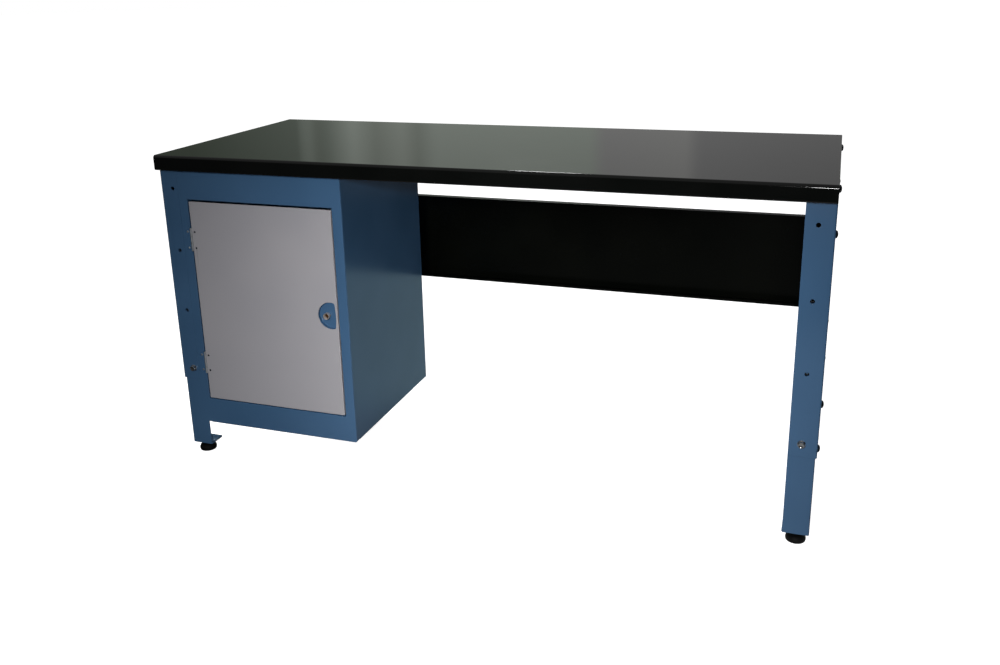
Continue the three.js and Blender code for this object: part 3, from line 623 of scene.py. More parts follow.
@dataclass
class Fasteners:
    """Bolts and weld nuts."""

    thread: Thread = field(default_factory=Thread)
    length: float = 22.0
    plain_share: float = 0.25
    neck: float = 4.6
    seat: float = 0.1
    edge: float = 0.4
    dome_radius: float = 9.5
    dome_height: float = 5.5
    dome_land: float = 0.9
    dome_draft: float = 0.15
    dome_flat: float = 0.6
    flange_radius: float = 10.0
    flange_height: float = 2.0
    flange_land: float = 1.1
    hex_across: float = 15.0
    hex_height: float = 7.0
    hex_root: float = 0.3
    hex_swell: float = 1.02
    cone_height: float = 1.4
    cone_slope: float = 1.5
    dish_radius: float = 6.0
    dish_depth: float = 1.8
    nut_across: float = 17.0
    nut_height: float = 8.0
    nut_bore: float = 5.4
    nut_chamfer: float = 0.7
    nut_ease: float = 0.2

    def bolt(self, head: Head, node: str, axis: Axis, face: float, length: float | None = None) -> None:
        """Make a bolt in its node's place: a head on a threaded shank, as one turned surface.

        Args:
            head: its kind of head.
            node: the frame's node.
            axis: the axis that it lies along.
            face: where the face under its head crosses that axis; the head points away from zero.
            length: the shank's length, or None for the usual one.
        """
        long = length or self.length
        plain = -long * self.plain_share
        radii, heights = self.domed(plain) if head is Head.DOME else self.hexed(plain)
        radii, heights = (np.broadcast_to(row, (ROUND, row.shape[-1])) for row in (radii, heights))
        shank_radii, shank_heights = self.thread.rows(-long, plain, ROUND)
        tip = np.zeros((ROUND, 1))
        rows = np.hstack([tip, shank_radii, radii, tip])
        levels = np.hstack([tip - long, shank_heights, heights, heights[:, -1:]])
        place, out = middle(node), np.zeros(3)
        place[axis.value] = face
        out[axis.value] = np.sign(face)
        make_piece(Skin().turned(rows, levels, place, out), f"{node}_head", head.value, node)

    def domed(self, plain: float) -> tuple[Array, Array]:
        """A shallow dome: an elliptical cap on a thin upright land.

        Args:
            plain: height at which the neck starts.

        Returns:
            Radii and heights of the rows.
        """
        rise = np.linspace(0, np.pi / 2, 12)[:-1]
        cap = self.dome_height - self.dome_land
        radii = [[self.neck, self.neck, self.dome_radius - self.edge, self.dome_radius],
                 (self.dome_radius - self.dome_draft) * np.cos(rise), [self.dome_flat]]
        heights = [[plain, self.seat, self.seat, self.seat + self.edge],
                   self.seat + self.dome_land + cap * np.sin(rise), [self.seat + self.dome_height]]
        return np.concatenate(radii), np.concatenate(heights)

    def hexed(self, plain: float) -> tuple[Array, Array]:
        """A flange head: a hexagon whose corners a cone turns off and whose top is dished, on a flange.

        Args:
            plain: height at which the neck starts.

        Returns:
            Radii of each row at each angle, and heights of the rows.
        """
        turn = np.linspace(0, 2 * np.pi, ROUND, endpoint=False)[:, None]
        around = np.ones_like(turn)
        six = hexagon(self.hex_across, turn)
        base = self.seat + self.flange_height
        top = base + self.hex_height
        drop = self.cone_height * np.array([1.0, 9 / 14, 4 / 14, 0.0])
        cone = self.hex_across / math.sqrt(3) - (self.cone_height - drop) * self.cone_slope
        hollow = np.linspace(1.0, 0.1, 6)
        flange = self.flange_radius
        radii = [around * [self.neck, self.neck, flange - 0.5, flange, flange], six * self.hex_swell,
                 np.minimum(six, cone), around * self.dish_radius * hollow]
        heights = [[plain, self.seat, self.seat, self.seat + self.edge, self.seat + self.flange_land,
                    base + self.hex_root], top - drop, top - self.dish_depth * (1 - hollow**2)]
        return np.hstack(radii), np.concatenate(heights)

    def nut(self, skin: Skin, place: Sequence[float], out: Sequence[float], bore: float | None = None,
            across: float | None = None, height: float | None = None) -> Skin:
        """A hexagon nut with turned-off corners, as a closed ring.

        Args:
            skin: where the surface goes.
            place: the middle of its seat.
            out: the direction that it stands in.
            bore: radius of its hole, or None for a weld nut's.
            across: width across its flats, or None for a weld nut's.
            height: its height, or None for a weld nut's.

        Returns:
            The skin.
        """
        hole, wide, tall = bore or self.nut_bore, across or self.nut_across, height or self.nut_height
        turn = np.linspace(0, 2 * np.pi, ROUND, endpoint=False)[:, None]
        six = hexagon(wide, turn)
        eased = np.minimum(six, wide / 2 + self.nut_ease)
        inner = np.ones_like(turn) * [hole, hole + self.nut_chamfer]
        low, high = self.nut_chamfer, tall - self.nut_chamfer
        radii = np.hstack([inner, eased, six, six, eased, inner[:, ::-1]])
        heights = np.array([low, 0.0, 0.0, low, high, tall, tall, high])
        return skin.turned(radii, heights, place, out, ring=True)


# Sub-assemblies


@dataclass(frozen=True)
class Corner:
    """A corner of the bench: which way is out, and how wide the upper leg's two flanges are."""

    name: str
    out_x: int
    out_y: int
    face: float
    side: float

    @property
    def facing(self) -> Point:
        """The way that the corner's angles face."""
        return (self.out_x, self.out_y, 0)


@dataclass
class Bench:
    """Planes that the sub-assemblies share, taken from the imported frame."""

    wide: float = 68.0
    narrow: float = 55.0
    end: float = field(init=False)
    face: float = field(init=False)

    def __post_init__(self) -> None:
        """Read the outer planes of the legs."""
        low, high = node_box("leg_upper_front_right")
        self.end = float(high[0])
        self.face = float(-low[1])

    def corners(self) -> list[Corner]:
        """The four corners, as one leg pattern turned by quarter turns."""
        return [
            Corner("front_left", -1, -1, self.narrow, self.wide),
            Corner("front_right", 1, -1, self.wide, self.narrow),
            Corner("rear_left", -1, 1, self.wide, self.narrow),
            Corner("rear_right", 1, 1, self.narrow, self.wide),
        ]

    def x(self, corner: Corner, inward: float) -> float:
        """The X that lies a distance in from the bench's end."""
        return corner.out_x * (self.end - inward)

    def y(self, corner: Corner, inward: float) -> float:
        """The Y that lies a distance in from the legs' outer face."""
        return corner.out_y * (self.face - inward)


@dataclass
class Worktop:
    """A laminated board with a postformed front edge."""

    nose_radius: float = 8.0
    lower_radius: float = 4.0
    arris: float = 1.0
    end_arris: float = 1.2
    bolt_length: float = 40.0
    level: float = 0.999

    def build(self, fasteners: Fasteners) -> None:
        """Make the slab, its underside and the bolts in its ends.

        Args:
            fasteners: the maker of bolts.
        """
        low, high = node_box("worktop")
        back, inset = quarter_bend(self.end_arris, 5)
        stations = np.concatenate([low[0] + back, (high[0] - back)[::-1]])
        loops = np.stack([self.section(low, high, step) for step in (*inset, *inset[::-1])])
        skin = Skin().grid(lifted(loops, Axis.X, stations[:, None]), loop_v=True)
        for end in (0, -1):
            skin.panel([loops[end]], Axis.X, float(stations[end]))
        slab = make_piece(skin, "worktop_slab", LAMINATE, "worktop")
        slab.data.materials.append(BACKER.material())
        normals = np.empty(len(slab.data.polygons) * 3, np.float32)
        slab.data.polygons.foreach_get("normal", normals)
        under = (normals.reshape(-1, 3)[:, 2] < -self.level).astype(np.int32)
        slab.data.polygons.foreach_set("material_index", under)
        for side, out in zip(ENDS, (-1, 1)):
            for row in ("front", "rear"):
                node = f"top_bolt_{row}_{side}"
                fasteners.bolt(Head.DOME, node, Axis.X, out * high[0], self.bolt_length)

    def section(self, low: Array, high: Array, inset: float) -> Array:
        """The slab's outline in Y and Z.

        Args:
            low: the slab's lowest corner.
            high: its highest corner.
            inset: how far the outline is drawn in.

        Returns:
            A closed loop.
        """
        corners = rectangle(low[1:] + inset, high[1:] - inset)
        radii = np.array([self.lower_radius, self.arris, self.arris, self.nose_radius]) - inset / 2
        return fillet(corners, radii, closed=True, steps=12)


@dataclass
class Legs:
    """Two-part legs of folded steel angle, with their bolts, plates and feet."""

    bench: Bench
    fasteners: Fasteners
    gauge: float = 3.0
    edge: float = 0.4
    nest: float = 3.3
    bend: float = 4.5
    hole_inset: float = 38.0
    hole_radius: float = 5.5
    open_drop: float = 54.0
    # Narrow bore of the extra nuts that darken the front legs' middle holes: painted shade.
    dark_hole_nut_bore: float = 3.3
    plate: float = 4.0
    plate_reveal: float = 1.5
    plate_depth: float = 55.0
    plate_corner: float = 3.0
    weld: float = 0.4
    boss_top: float = 23.0
    stud_tip: float = 1.0
    stud_sink: float = 0.1

    def build(self) -> None:
        """Make every leg with its fittings."""
        for corner in self.bench.corners():
            self.angle(f"leg_upper_{corner.name}", corner, 0.0, corner.face, corner.side)
            self.lower(corner)
            self.bolts(corner)
            self.foot(corner)

    @staticmethod
    def side_bolts(corner: Corner) -> list[str]:
        """Nodes of the bolts through a leg's side."""
        names = ("rail_bolt_upper", "rail_bolt_lower", "clamp_bolt_side")
        return [f"{name}_{corner.name}" for name in names]

    @staticmethod
    def apron_bolts(corner: Corner) -> list[str]:
        """Nodes of the apron's bolts through a rear leg's face."""
        return [f"apron_bolt_{row}_{corner.name.replace('rear_', '')}" for row in ROWS]

    def heights(self, corner: Corner) -> list[float]:
        """Heights of the holes in a leg's face: even at the front, at the apron's bolts at the rear.

        Args:
            corner: the bench's corner.

        Returns:
            The heights, from the top down.
        """
        top = float(node_box("worktop")[0][2]) - self.open_drop
        clamp = middle(f"clamp_bolt_face_{corner.name}")[2]
        if corner.out_y < 0:
            return list(np.linspace(top, clamp, 4))
        return [top, *(middle(node)[2] for node in self.apron_bolts(corner)), clamp]

    def angle(self, node: str, corner: Corner, inset: float, face: float, side: float) -> None:
        """Make a folded angle with its holes.

        Args:
            node: the frame's node.
            corner: the bench's corner.
            inset: how far the angle lies inside the bench's corner.
            face: where its face flange ends, inwards.
            side: where its side flange ends, inwards.
        """
        bench = self.bench
        low, high = node_box(node)
        x, y = bench.x(corner, inset), bench.y(corner, inset)
        line = np.array([[bench.x(corner, face), y], [x, y], [x, bench.y(corner, side)]])
        face_point = (bench.x(corner, self.hole_inset), y)
        side_point = (x, bench.y(corner, self.hole_inset))
        places = [(face_point, z) for z in self.heights(corner)]
        places += [(side_point, float(middle(bolt)[2])) for bolt in self.side_bolts(corner)]
        holes = [Hole(point, z, self.hole_radius) for point, z in places if z < high[2]]
        skin = fold(Skin(), Axis.Z, fillet(line, self.bend), (low[2], high[2]), holes)
        make_piece(skin, f"{node}_angle", BLUE, node, sheet=Sheet(self.gauge, corner.facing, self.edge))

    def lower(self, corner: Corner) -> None:
        """Make the inner, lower angle, its bottom plate and its weld nuts. The nuts are blackened steel,
        and extra nuts with narrow bores stand behind the front legs' middle holes: painted shade, so that
        those holes look dark.

        Args:
            corner: the bench's corner.
        """
        node = f"leg_lower_{corner.name}"
        bench = self.bench
        base = node_box(node)[0][2]
        self.angle(node, corner, self.nest, bench.wide, bench.wide)
        foot = middle(f"foot_{corner.name}")
        inner = self.nest + self.gauge
        x, y = bench.x(corner, inner), bench.y(corner, inner)
        near = inner - self.weld
        across = sorted((bench.x(corner, near), bench.x(corner, bench.wide + self.plate_reveal)))
        deep = sorted((bench.y(corner, near), bench.y(corner, self.nest + self.plate_depth)))
        outline = fillet(rectangle(*zip(across, deep)), self.plate_corner, closed=True)
        plate = Skin().panel([outline, circle(foot[:2], self.hole_radius)], Axis.Z, base)
        sheet = Sheet(self.plate, (0, 0, -1), self.edge)
        make_piece(plate, f"leg_plate_{corner.name}", BLUE, sheet=sheet)
        nut = self.fasteners.nut
        nuts = nut(Skin(), (foot[0], foot[1], base + self.plate), (0, 0, 1))
        face = middle(f"clamp_bolt_face_{corner.name}")
        side = middle(f"clamp_bolt_side_{corner.name}")
        nut(nuts, (face[0], y, face[2]), (0, -corner.out_y, 0))
        # Painted shade: extra blackened nuts with narrow bores behind the front legs' middle holes make
        # those holes look dark.
        dark_hole_heights = self.heights(corner)[1:-1] if corner.out_y < 0 else []
        for z in dark_hole_heights:
            nut(nuts, (face[0], y, z), (0, -corner.out_y, 0), self.dark_hole_nut_bore)
        nut(nuts, (x, side[1], side[2]), (-corner.out_x, 0, 0))
        # Blackened steel on every leg nut is painted shade: it darkens what shows through the holes.
        make_piece(nuts, f"leg_nuts_{corner.name}", OXIDE)

    def bolts(self, corner: Corner) -> None:
        """Make the bolts through the leg's two flanges.

        Args:
            corner: the bench's corner.
        """
        x, y = self.bench.x(corner, 0), self.bench.y(corner, 0)
        for node in self.side_bolts(corner):
            self.fasteners.bolt(Head.DOME, node, Axis.X, x)
        self.fasteners.bolt(Head.HEXAGON, f"clamp_bolt_face_{corner.name}", Axis.Y, y)
        for node in self.apron_bolts(corner) if corner.out_y > 0 else []:
            self.fasteners.bolt(Head.DOME, node, Axis.Y, y)

    def foot(self, corner: Corner) -> None:
        """Make a levelling foot: a turned pad with a raised boss, on a threaded stud.

        Args:
            corner: the bench's corner.
        """
        node = f"foot_{corner.name}"
        top = node_box(node)[1][2]
        base = (*middle(node)[:2], 0.0)
        profile = np.array([
            [0.0, 1.2], [15.0, 1.2], [16.0, 0.0], [21.5, 0.0], [23.4, 0.7], [24.6, 2.6],
            [25.0, 6.0], [24.8, 9.0], [24.0, 12.0], [22.4, 14.8], [20.0, 17.2], [17.0, 19.0],
            [14.0, 20.2], [12.0, 20.8], [11.4, 21.2], [11.2, 22.6], [10.8, self.boss_top],
            [0.0, self.boss_top]])
        radii, heights = fillet(profile, 0.15, steps=2).T
        make_piece(Skin().turned(radii, heights, base, (0, 0, 1)), f"{node}_pad", NYLON, node, node)
        start = self.boss_top - self.stud_sink
        radii, heights = self.fasteners.thread.rows(start, top - self.stud_tip, SMALL_ROUND)
        ends = np.zeros((SMALL_ROUND, 1))
        radii = np.hstack([ends, radii, radii[:, -1:] - self.stud_tip, ends])
        heights = np.hstack([ends + start, heights, ends + top, ends + top])
        stud = Skin().turned(radii, heights, base, (0, 0, 1), SMALL_ROUND)
        make_piece(stud, f"{node}_stud", ZINC, body=node)


@dataclass
class Stiffeners:
    """Side rails and the rear apron: folded channels with weld nuts."""

    fasteners: Fasteners
    rail_gauge: float = 2.0
    rail_bend: float = 3.0
    rail_edge: float = 0.3
    apron_gauge: float = 1.5
    apron_bend: float = 2.5
    hole_radius: float = 5.5
    top_flange: float = 26.5
    bottom_lip: float = 8.0

    def build(self) -> None:
        """Make the four rails and the apron."""
        for side, out in zip(ENDS, (-1, 1)):
            for row in ROWS:
                self.rail(row, side, out)
        self.apron()

    def rail(self, row: str, side: str, out: int) -> None:
        """Make one side rail, a channel that opens inwards.

        Args:
            row: upper or lower.
            side: left or right.
            out: the sign of X on that side.
        """
        node = f"rail_{row}_{side}"
        low, high = node_box(node)
        web, lip = (low[0], high[0]) if out < 0 else (high[0], low[0])
        line = np.array([[low[2], lip], [low[2], web], [high[2], web], [high[2], lip]])
        places = [middle(f"rail_bolt_{row}_{end}_{side}") for end in ("front", "rear")]
        holes = [Hole((place[2], web), place[1], self.hole_radius) for place in places]
        skin = fold(Skin(), Axis.Y, fillet(line, self.rail_bend), (low[1], high[1]), holes)
        sheet = Sheet(self.rail_gauge, (out, 0, 0), self.rail_edge)
        make_piece(skin, f"{node}_channel", BLUE, node, sheet=sheet)
        nuts = Skin()
        for place in places:
            self.fasteners.nut(nuts, (web - out * self.rail_gauge, place[1], place[2]), (-out, 0, 0))
        make_piece(nuts, f"{node}_nuts", BLUE)

    def apron(self) -> None:
        """Make the rear apron: a web with a flange at its top and a deeper, lipped one at its bottom."""
        low, high = node_box("apron")
        front, rear = low[1], high[1]
        line = np.array([
            [front, low[2] + self.bottom_lip], [front, low[2]], [rear, low[2]], [rear, high[2]],
            [rear - self.top_flange, high[2]]])
        places = [middle(f"apron_bolt_{row}_{side}") for row in ROWS for side in ENDS]
        holes = [Hole((rear, place[2]), place[0], self.hole_radius) for place in places]
        skin = fold(Skin(), Axis.X, fillet(line, self.apron_bend), (low[0], high[0]), holes)
        make_piece(skin, "apron_sheet", BLACK, "apron", sheet=Sheet(self.apron_gauge, (0, 1, 0)))
        nuts = Skin()
        for place in places:
            self.fasteners.nut(nuts, (place[0], rear - self.apron_gauge, place[2]), (0, -1, 0))
        make_piece(nuts, "apron_nuts", BLACK)


@dataclass
class Cabinet:
    """The cabinet's carcass: front frame, panels, floor and shelf."""

    gauge: float = 1.5
    bend: float = 2.0
    outer_bend: float = 3.0
    top_bend: float = 4.5
    base_bend: float = 3.5
    lip: float = 20.0
    door_gap: float = 3.0
    top_gap: float = 4.2
    hinge_half: float = 34.2
    notch: float = 3.0
    notch_depth: float = 3.4
    flange: float = 21.5
    seam: float = 0.1
    clearance: float = 0.3
    panel_corner: float = 1.5
    shelf_gauge: float = 1.2
    ledge: float = 20.0
    ledge_setback: float = 3.0

    def opening(self) -> tuple[Array, Array]:
        """The door opening's lowest and highest corner in X and Z."""
        low, high = node_box("door")
        return low[[0, 2]] - self.door_gap, high[[0, 2]] + np.array([self.door_gap, self.top_gap])

    def hinge_spans(self) -> list[float]:
        """Heights of the notches' ends, upwards."""
        middles = [middle(Leaf.DOOR.node(row))[2] for row in ROWS[::-1]]
        return [float(height + sign * self.hinge_half) for height in middles for sign in (-1, 1)]

    def build(self) -> None:
        """Make the carcass."""
        self.frame()
        self.panels()
        self.shelf()

    def sheet(self, skin: Skin, name: str, node: str, facing: Point) -> None:
        """Make a blue sheet of the usual gauge, which may stand for a node."""
        make_piece(skin, name, BLUE, node, sheet=Sheet(self.gauge, facing))

    def frame(self) -> None:
        """Make the front frame.

        The face is flat from the frame's edges to the start of the bend round the opening. The lip is a
        profile of outward offset and depth carried round the opening's corners, with the cells behind
        each hinge knuckle left open. The right edge, the bottom and the top turn back over a bend.
        """
        low, high = node_box("cabinet_frame")
        front = low[1]
        (left, sill), (jamb, head) = self.opening()
        spans = self.hinge_spans()
        right = high[0] - self.outer_bend
        bottom = low[2] + self.bend
        top = high[2] - self.top_bend
        outer = rectangle((bottom, low[0]), (top, right))
        edge = left - self.bend
        deep = left - self.notch
        inner = np.array([
            [sill - self.bend, edge], *zip(np.repeat(spans, 2), [edge, deep, deep, edge] * 2),
            [head + self.bend, edge], [head + self.bend, jamb + self.bend],
            [sill - self.bend, jamb + self.bend]])
        skin = Skin().panel([outer, inner], Axis.Y, front)
        rise, draw = quarter_bend(self.bend)
        offset = np.append(draw, [0.0, 0.0])
        depth = np.append(rise, [self.notch_depth, self.lip])
        stops = [[left, z] for z in spans]
        corners = np.array([[left, sill], *stops, [left, head], [jamb, head], [jamb, sill]])
        outward = np.array([[-1, -1], *[[-1, 0]] * 4, [-1, 1], [1, 1], [1, -1]], float)
        points = np.empty((len(corners), len(offset), 3))
        points[..., [0, 2]] = corners[:, None] + outward[:, None] * offset[None, :, None]
        points[..., 1] = front + depth
        skip = np.zeros((len(corners), len(offset) - 1), bool)
        skip[[1, 3], :-1] = True
        skin.grid(points, loop_u=True, skip=skip)
        rise, draw = quarter_bend(self.outer_bend)
        fold(skin, Axis.Z, pairs(high[0] - draw, front + rise), (bottom, top))
        rim = (left - self.gauge, right)
        for level, sign, radius in ((low[2], 1, self.bend), (high[2], -1, self.top_bend)):
            rise, draw = quarter_bend(radius)
            turn = pairs(front + rise, level + sign * draw)
            fold(skin, Axis.X, np.concatenate([turn, [[front + self.lip, level]]]), rim)
        self.sheet(skin, "cabinet_front_frame", "cabinet_frame", (0, -1, 0))

    def panels(self) -> None:
        """Make the side panels, the back and the floor."""
        low, high = node_box("cabinet_right")
        start = node_box("cabinet_frame")[0][1] + self.outer_bend + self.seam
        web, lip = high[0], high[0] - self.flange
        line = np.array([[low[2], lip], [low[2], web], [high[2], web], [high[2], lip]])
        line = fillet(line, np.array([self.base_bend, self.bend]))
        skin = fold(Skin(), Axis.Y, line, (start + self.lip, high[1]))
        strip = np.array([[low[2] + self.base_bend, web], [high[2] - self.bend, web]])
        fold(skin, Axis.Y, strip, (start, start + self.lip))
        self.sheet(skin, "cabinet_right_panel", "cabinet_right", (1, 0, 0))
        low, high = node_box("cabinet_left")
        reach = self.opening()[0][0] - self.gauge - self.clearance
        line = fillet(np.array([[reach, low[1]], [low[0], low[1]], [low[0], high[1]]]), self.bend)
        skin = fold(Skin(), Axis.Z, line, (low[2], high[2]))
        self.sheet(skin, "cabinet_left_panel", "cabinet_left", (-1, 0, 0))
        for name, axis in (("back", Axis.Y), ("floor", Axis.Z)):
            low, high = node_box(f"cabinet_{name}")
            flat = list(axis.section)
            outline = fillet(rectangle(low[flat], high[flat]), self.panel_corner, closed=True)
            facing = tuple(np.eye(3)[axis.value])
            skin = Skin().panel([outline], axis, high[axis.value])
            self.sheet(skin, f"cabinet_{name}_panel", f"cabinet_{name}", facing)

    def shelf(self) -> None:
        """Make the shelf with its folded front lip, and the ledges that carry it."""
        low, high = node_box("cabinet_shelf")
        line = np.array([[low[1], low[2]], [low[1], high[2]], [high[1], high[2]]])
        skin = fold(Skin(), Axis.X, fillet(line, self.bend), (low[0], high[0]))
        sheet = Sheet(self.shelf_gauge, (0, 0, 1))
        make_piece(skin, "cabinet_shelf_sheet", BLUE, "cabinet_shelf", sheet=sheet)
        under = high[2] - self.shelf_gauge - self.clearance
        outer = (node_box("cabinet_left")[0][0], node_box("cabinet_right")[1][0])
        for side, face, inward in zip(ENDS, outer, (1, -1)):
            wall = face + inward * self.gauge
            lip = wall + inward * self.ledge
            line = np.array([[under - self.flange, wall], [under, wall], [under, lip]])
            skin = fold(Skin(), Axis.Y, fillet(line, self.bend), (low[1] + self.ledge_setback, high[1]))
            self.sheet(skin, f"cabinet_ledge_{side}", "", (-inward, 0, 1))


@dataclass
class Door:
    """The folded door with its finger cup, lock and hinges."""

    cabinet: Cabinet
    fasteners: Fasteners
    gauge: float = 1.5
    bend: float = 2.0
    corner: float = 2.5
    tight_corner: float = 0.4
    fold_depth: float = 18.0
    leaf_notch: float = 5.0
    return_width: float = 12.0
    top_trim: float = 0.5
    top_lean: float = 4.0
    cup_radius: float = 39.0
    cup_chord: float = 13.0
    cup_bow: float = 3.0
    cup_corner: float = 2.4
    cup_depth: float = 11.0
    cup_drop: float = 300.0
    cup_margin: float = 5.6
    cup_gauge: float = 1.2
    cup_flange: float = 2.4
    cup_rim: float = 1.2
    cup_draft: float = 0.4
    cup_root: float = 2.5
    cup_hole: float = 8.2
    cup_edge: float = 0.2
    low: Array = field(init=False)
    high: Array = field(init=False)
    front: float = field(init=False)
    cup_x: float = field(init=False)
    cup_z: float = field(init=False)

    def __post_init__(self) -> None:
        """Read the door's box and place the cup in it."""
        self.low, self.high = node_box("door")
        self.front = float(self.low[1])
        self.cup_x = float(self.high[0]) - self.cup_margin - self.cup_bow - self.cup_chord
        self.cup_z = float(self.high[2]) - self.cup_drop

    def build(self) -> None:
        """Make the door and what it carries."""
        self.pan()
        self.cup()
        Lock(self.front, self.cup_depth, self.fasteners).build()
        for row in ROWS:
            Hinge(row, self.front).build()

    def cup_line(self) -> Array:
        """The finger cup's outline in Z and X: most of a circle, closed by a chord that bows outwards.

        Returns:
            A closed loop with its two corners eased.
        """
        radius, chord = self.cup_radius, self.cup_chord
        half = math.acos(chord / radius)
        sweep = np.linspace(half, 2 * np.pi - half, 72)
        arc = radius * pairs(np.cos(sweep), np.sin(sweep))
        rise = radius * math.sin(half)
        share = np.linspace(-1, 1, 18)
        bow = pairs(chord + self.cup_bow * (1 - share**2), rise * share)
        far = np.minimum(np.hypot(*(arc - arc[0]).T), np.hypot(*(arc - arc[-1]).T)) > self.cup_corner
        bow = bow[np.abs(share) * rise < rise - self.cup_corner]
        turns = [self.eased(bow[-1], arc[0], arc[far][0]), self.eased(arc[far][-1], arc[-1], bow[0])]
        loop = np.concatenate([bow, turns[0], arc[far], turns[1]])
        return pairs(loop[:, 1] + self.cup_z, loop[:, 0] + self.cup_x)

    @staticmethod
    def eased(start: Array, corner: Array, end: Array) -> Array:
        """Points of the quadratic curve that leaves one point and reaches another towards a corner."""
        share = np.array([[0.25], [0.5], [0.75]])
        return (1 - share) ** 2 * start + 2 * share * (1 - share) * corner + share**2 * end

    def pan(self) -> None:
        """Make the door's pan.

        A profile of inset and depth is carried round the door's rounded rectangle: the bend at the
        front, the folded edge, the bend at the back and the return. The top edge leans in with depth, so
        that the gap above it looks dark. The face is flat inside the bend, with the cup's outline cut
        out. Cells behind the hinge leaves are left open.
        """
        rise, draw = quarter_bend(self.bend)
        inset = np.concatenate([draw, [0.0], draw[::-1], [self.return_width]])
        depth = np.concatenate([
            rise, [self.leaf_notch], self.fold_depth - rise[::-1], [self.fold_depth]])
        spans = np.array(self.cabinet.hinge_spans())
        tops = self.high[2] - self.top_trim - inset - self.top_lean * depth / self.fold_depth
        rings = []
        for step, top in zip(inset, tops):
            box = rectangle((self.low[2] + step, self.low[0] + step), (top, self.high[0] - step))
            loop = fillet(box, max(self.corner - step, self.tight_corner), closed=True, steps=4)
            edge = pairs(spans, np.full(4, self.low[0] + step))
            rings.append(np.concatenate([loop[:5], edge, loop[5:]]))
        loops = np.stack(rings)
        skip = np.zeros((len(inset) - 1, loops.shape[1]), bool)
        skip[BEND_STEPS - 1, [5, 7]] = True
        skin = Skin().grid(lifted(loops, Axis.Y, (self.front + depth)[:, None]), loop_v=True, skip=skip)
        skin.panel([loops[0], self.cup_line()], Axis.Y, self.front)
        make_piece(skin, "door_pan", GREY, "door", "door", Sheet(self.gauge, (0, -1, 0)))

    def cup(self) -> None:
        """Make the finger cup: its outline carried over a rolled rim, down a wall and into a floor."""
        start = self.front + self.gauge + self.cabinet.seam
        floor = self.front + self.cup_depth
        rim_in, rim_off = quarter_bend(self.cup_rim)
        root_in, root_off = quarter_bend(self.cup_root)
        inset = np.concatenate([[-self.cup_flange], rim_in - self.cup_rim, self.cup_draft + root_in])
        depth = np.concatenate([[start], start + rim_off[::-1], floor - root_off])
        loops = np.stack([self.offset(step) for step in inset])
        skin = Skin().grid(lifted(loops, Axis.Y, depth[:, None]), loop_v=True)
        skin.panel([loops[-1], circle(middle("lock_plug")[[2, 0]], self.cup_hole)], Axis.Y, floor)
        sheet = Sheet(self.cup_gauge, (0, -1, 0), self.cup_edge)
        make_piece(skin, "finger_cup", BLUE, "lock_cup", "door", sheet)

    def offset(self, inset: float) -> Array:
        """The cup's outline moved in along its own normals.

        Args:
            inset: how far it is moved.

        Returns:
            A closed loop.
        """
        loop = self.cup_line()
        along = np.roll(loop, -1, 0) - np.roll(loop, 1, 0)
        normal = pairs(-along[:, 1], along[:, 0])
        normal /= np.linalg.norm(normal, axis=1, keepdims=True)
        inward = np.sign(((loop.mean(0) - loop) * normal).sum()) * normal
        return loop + inset * inward


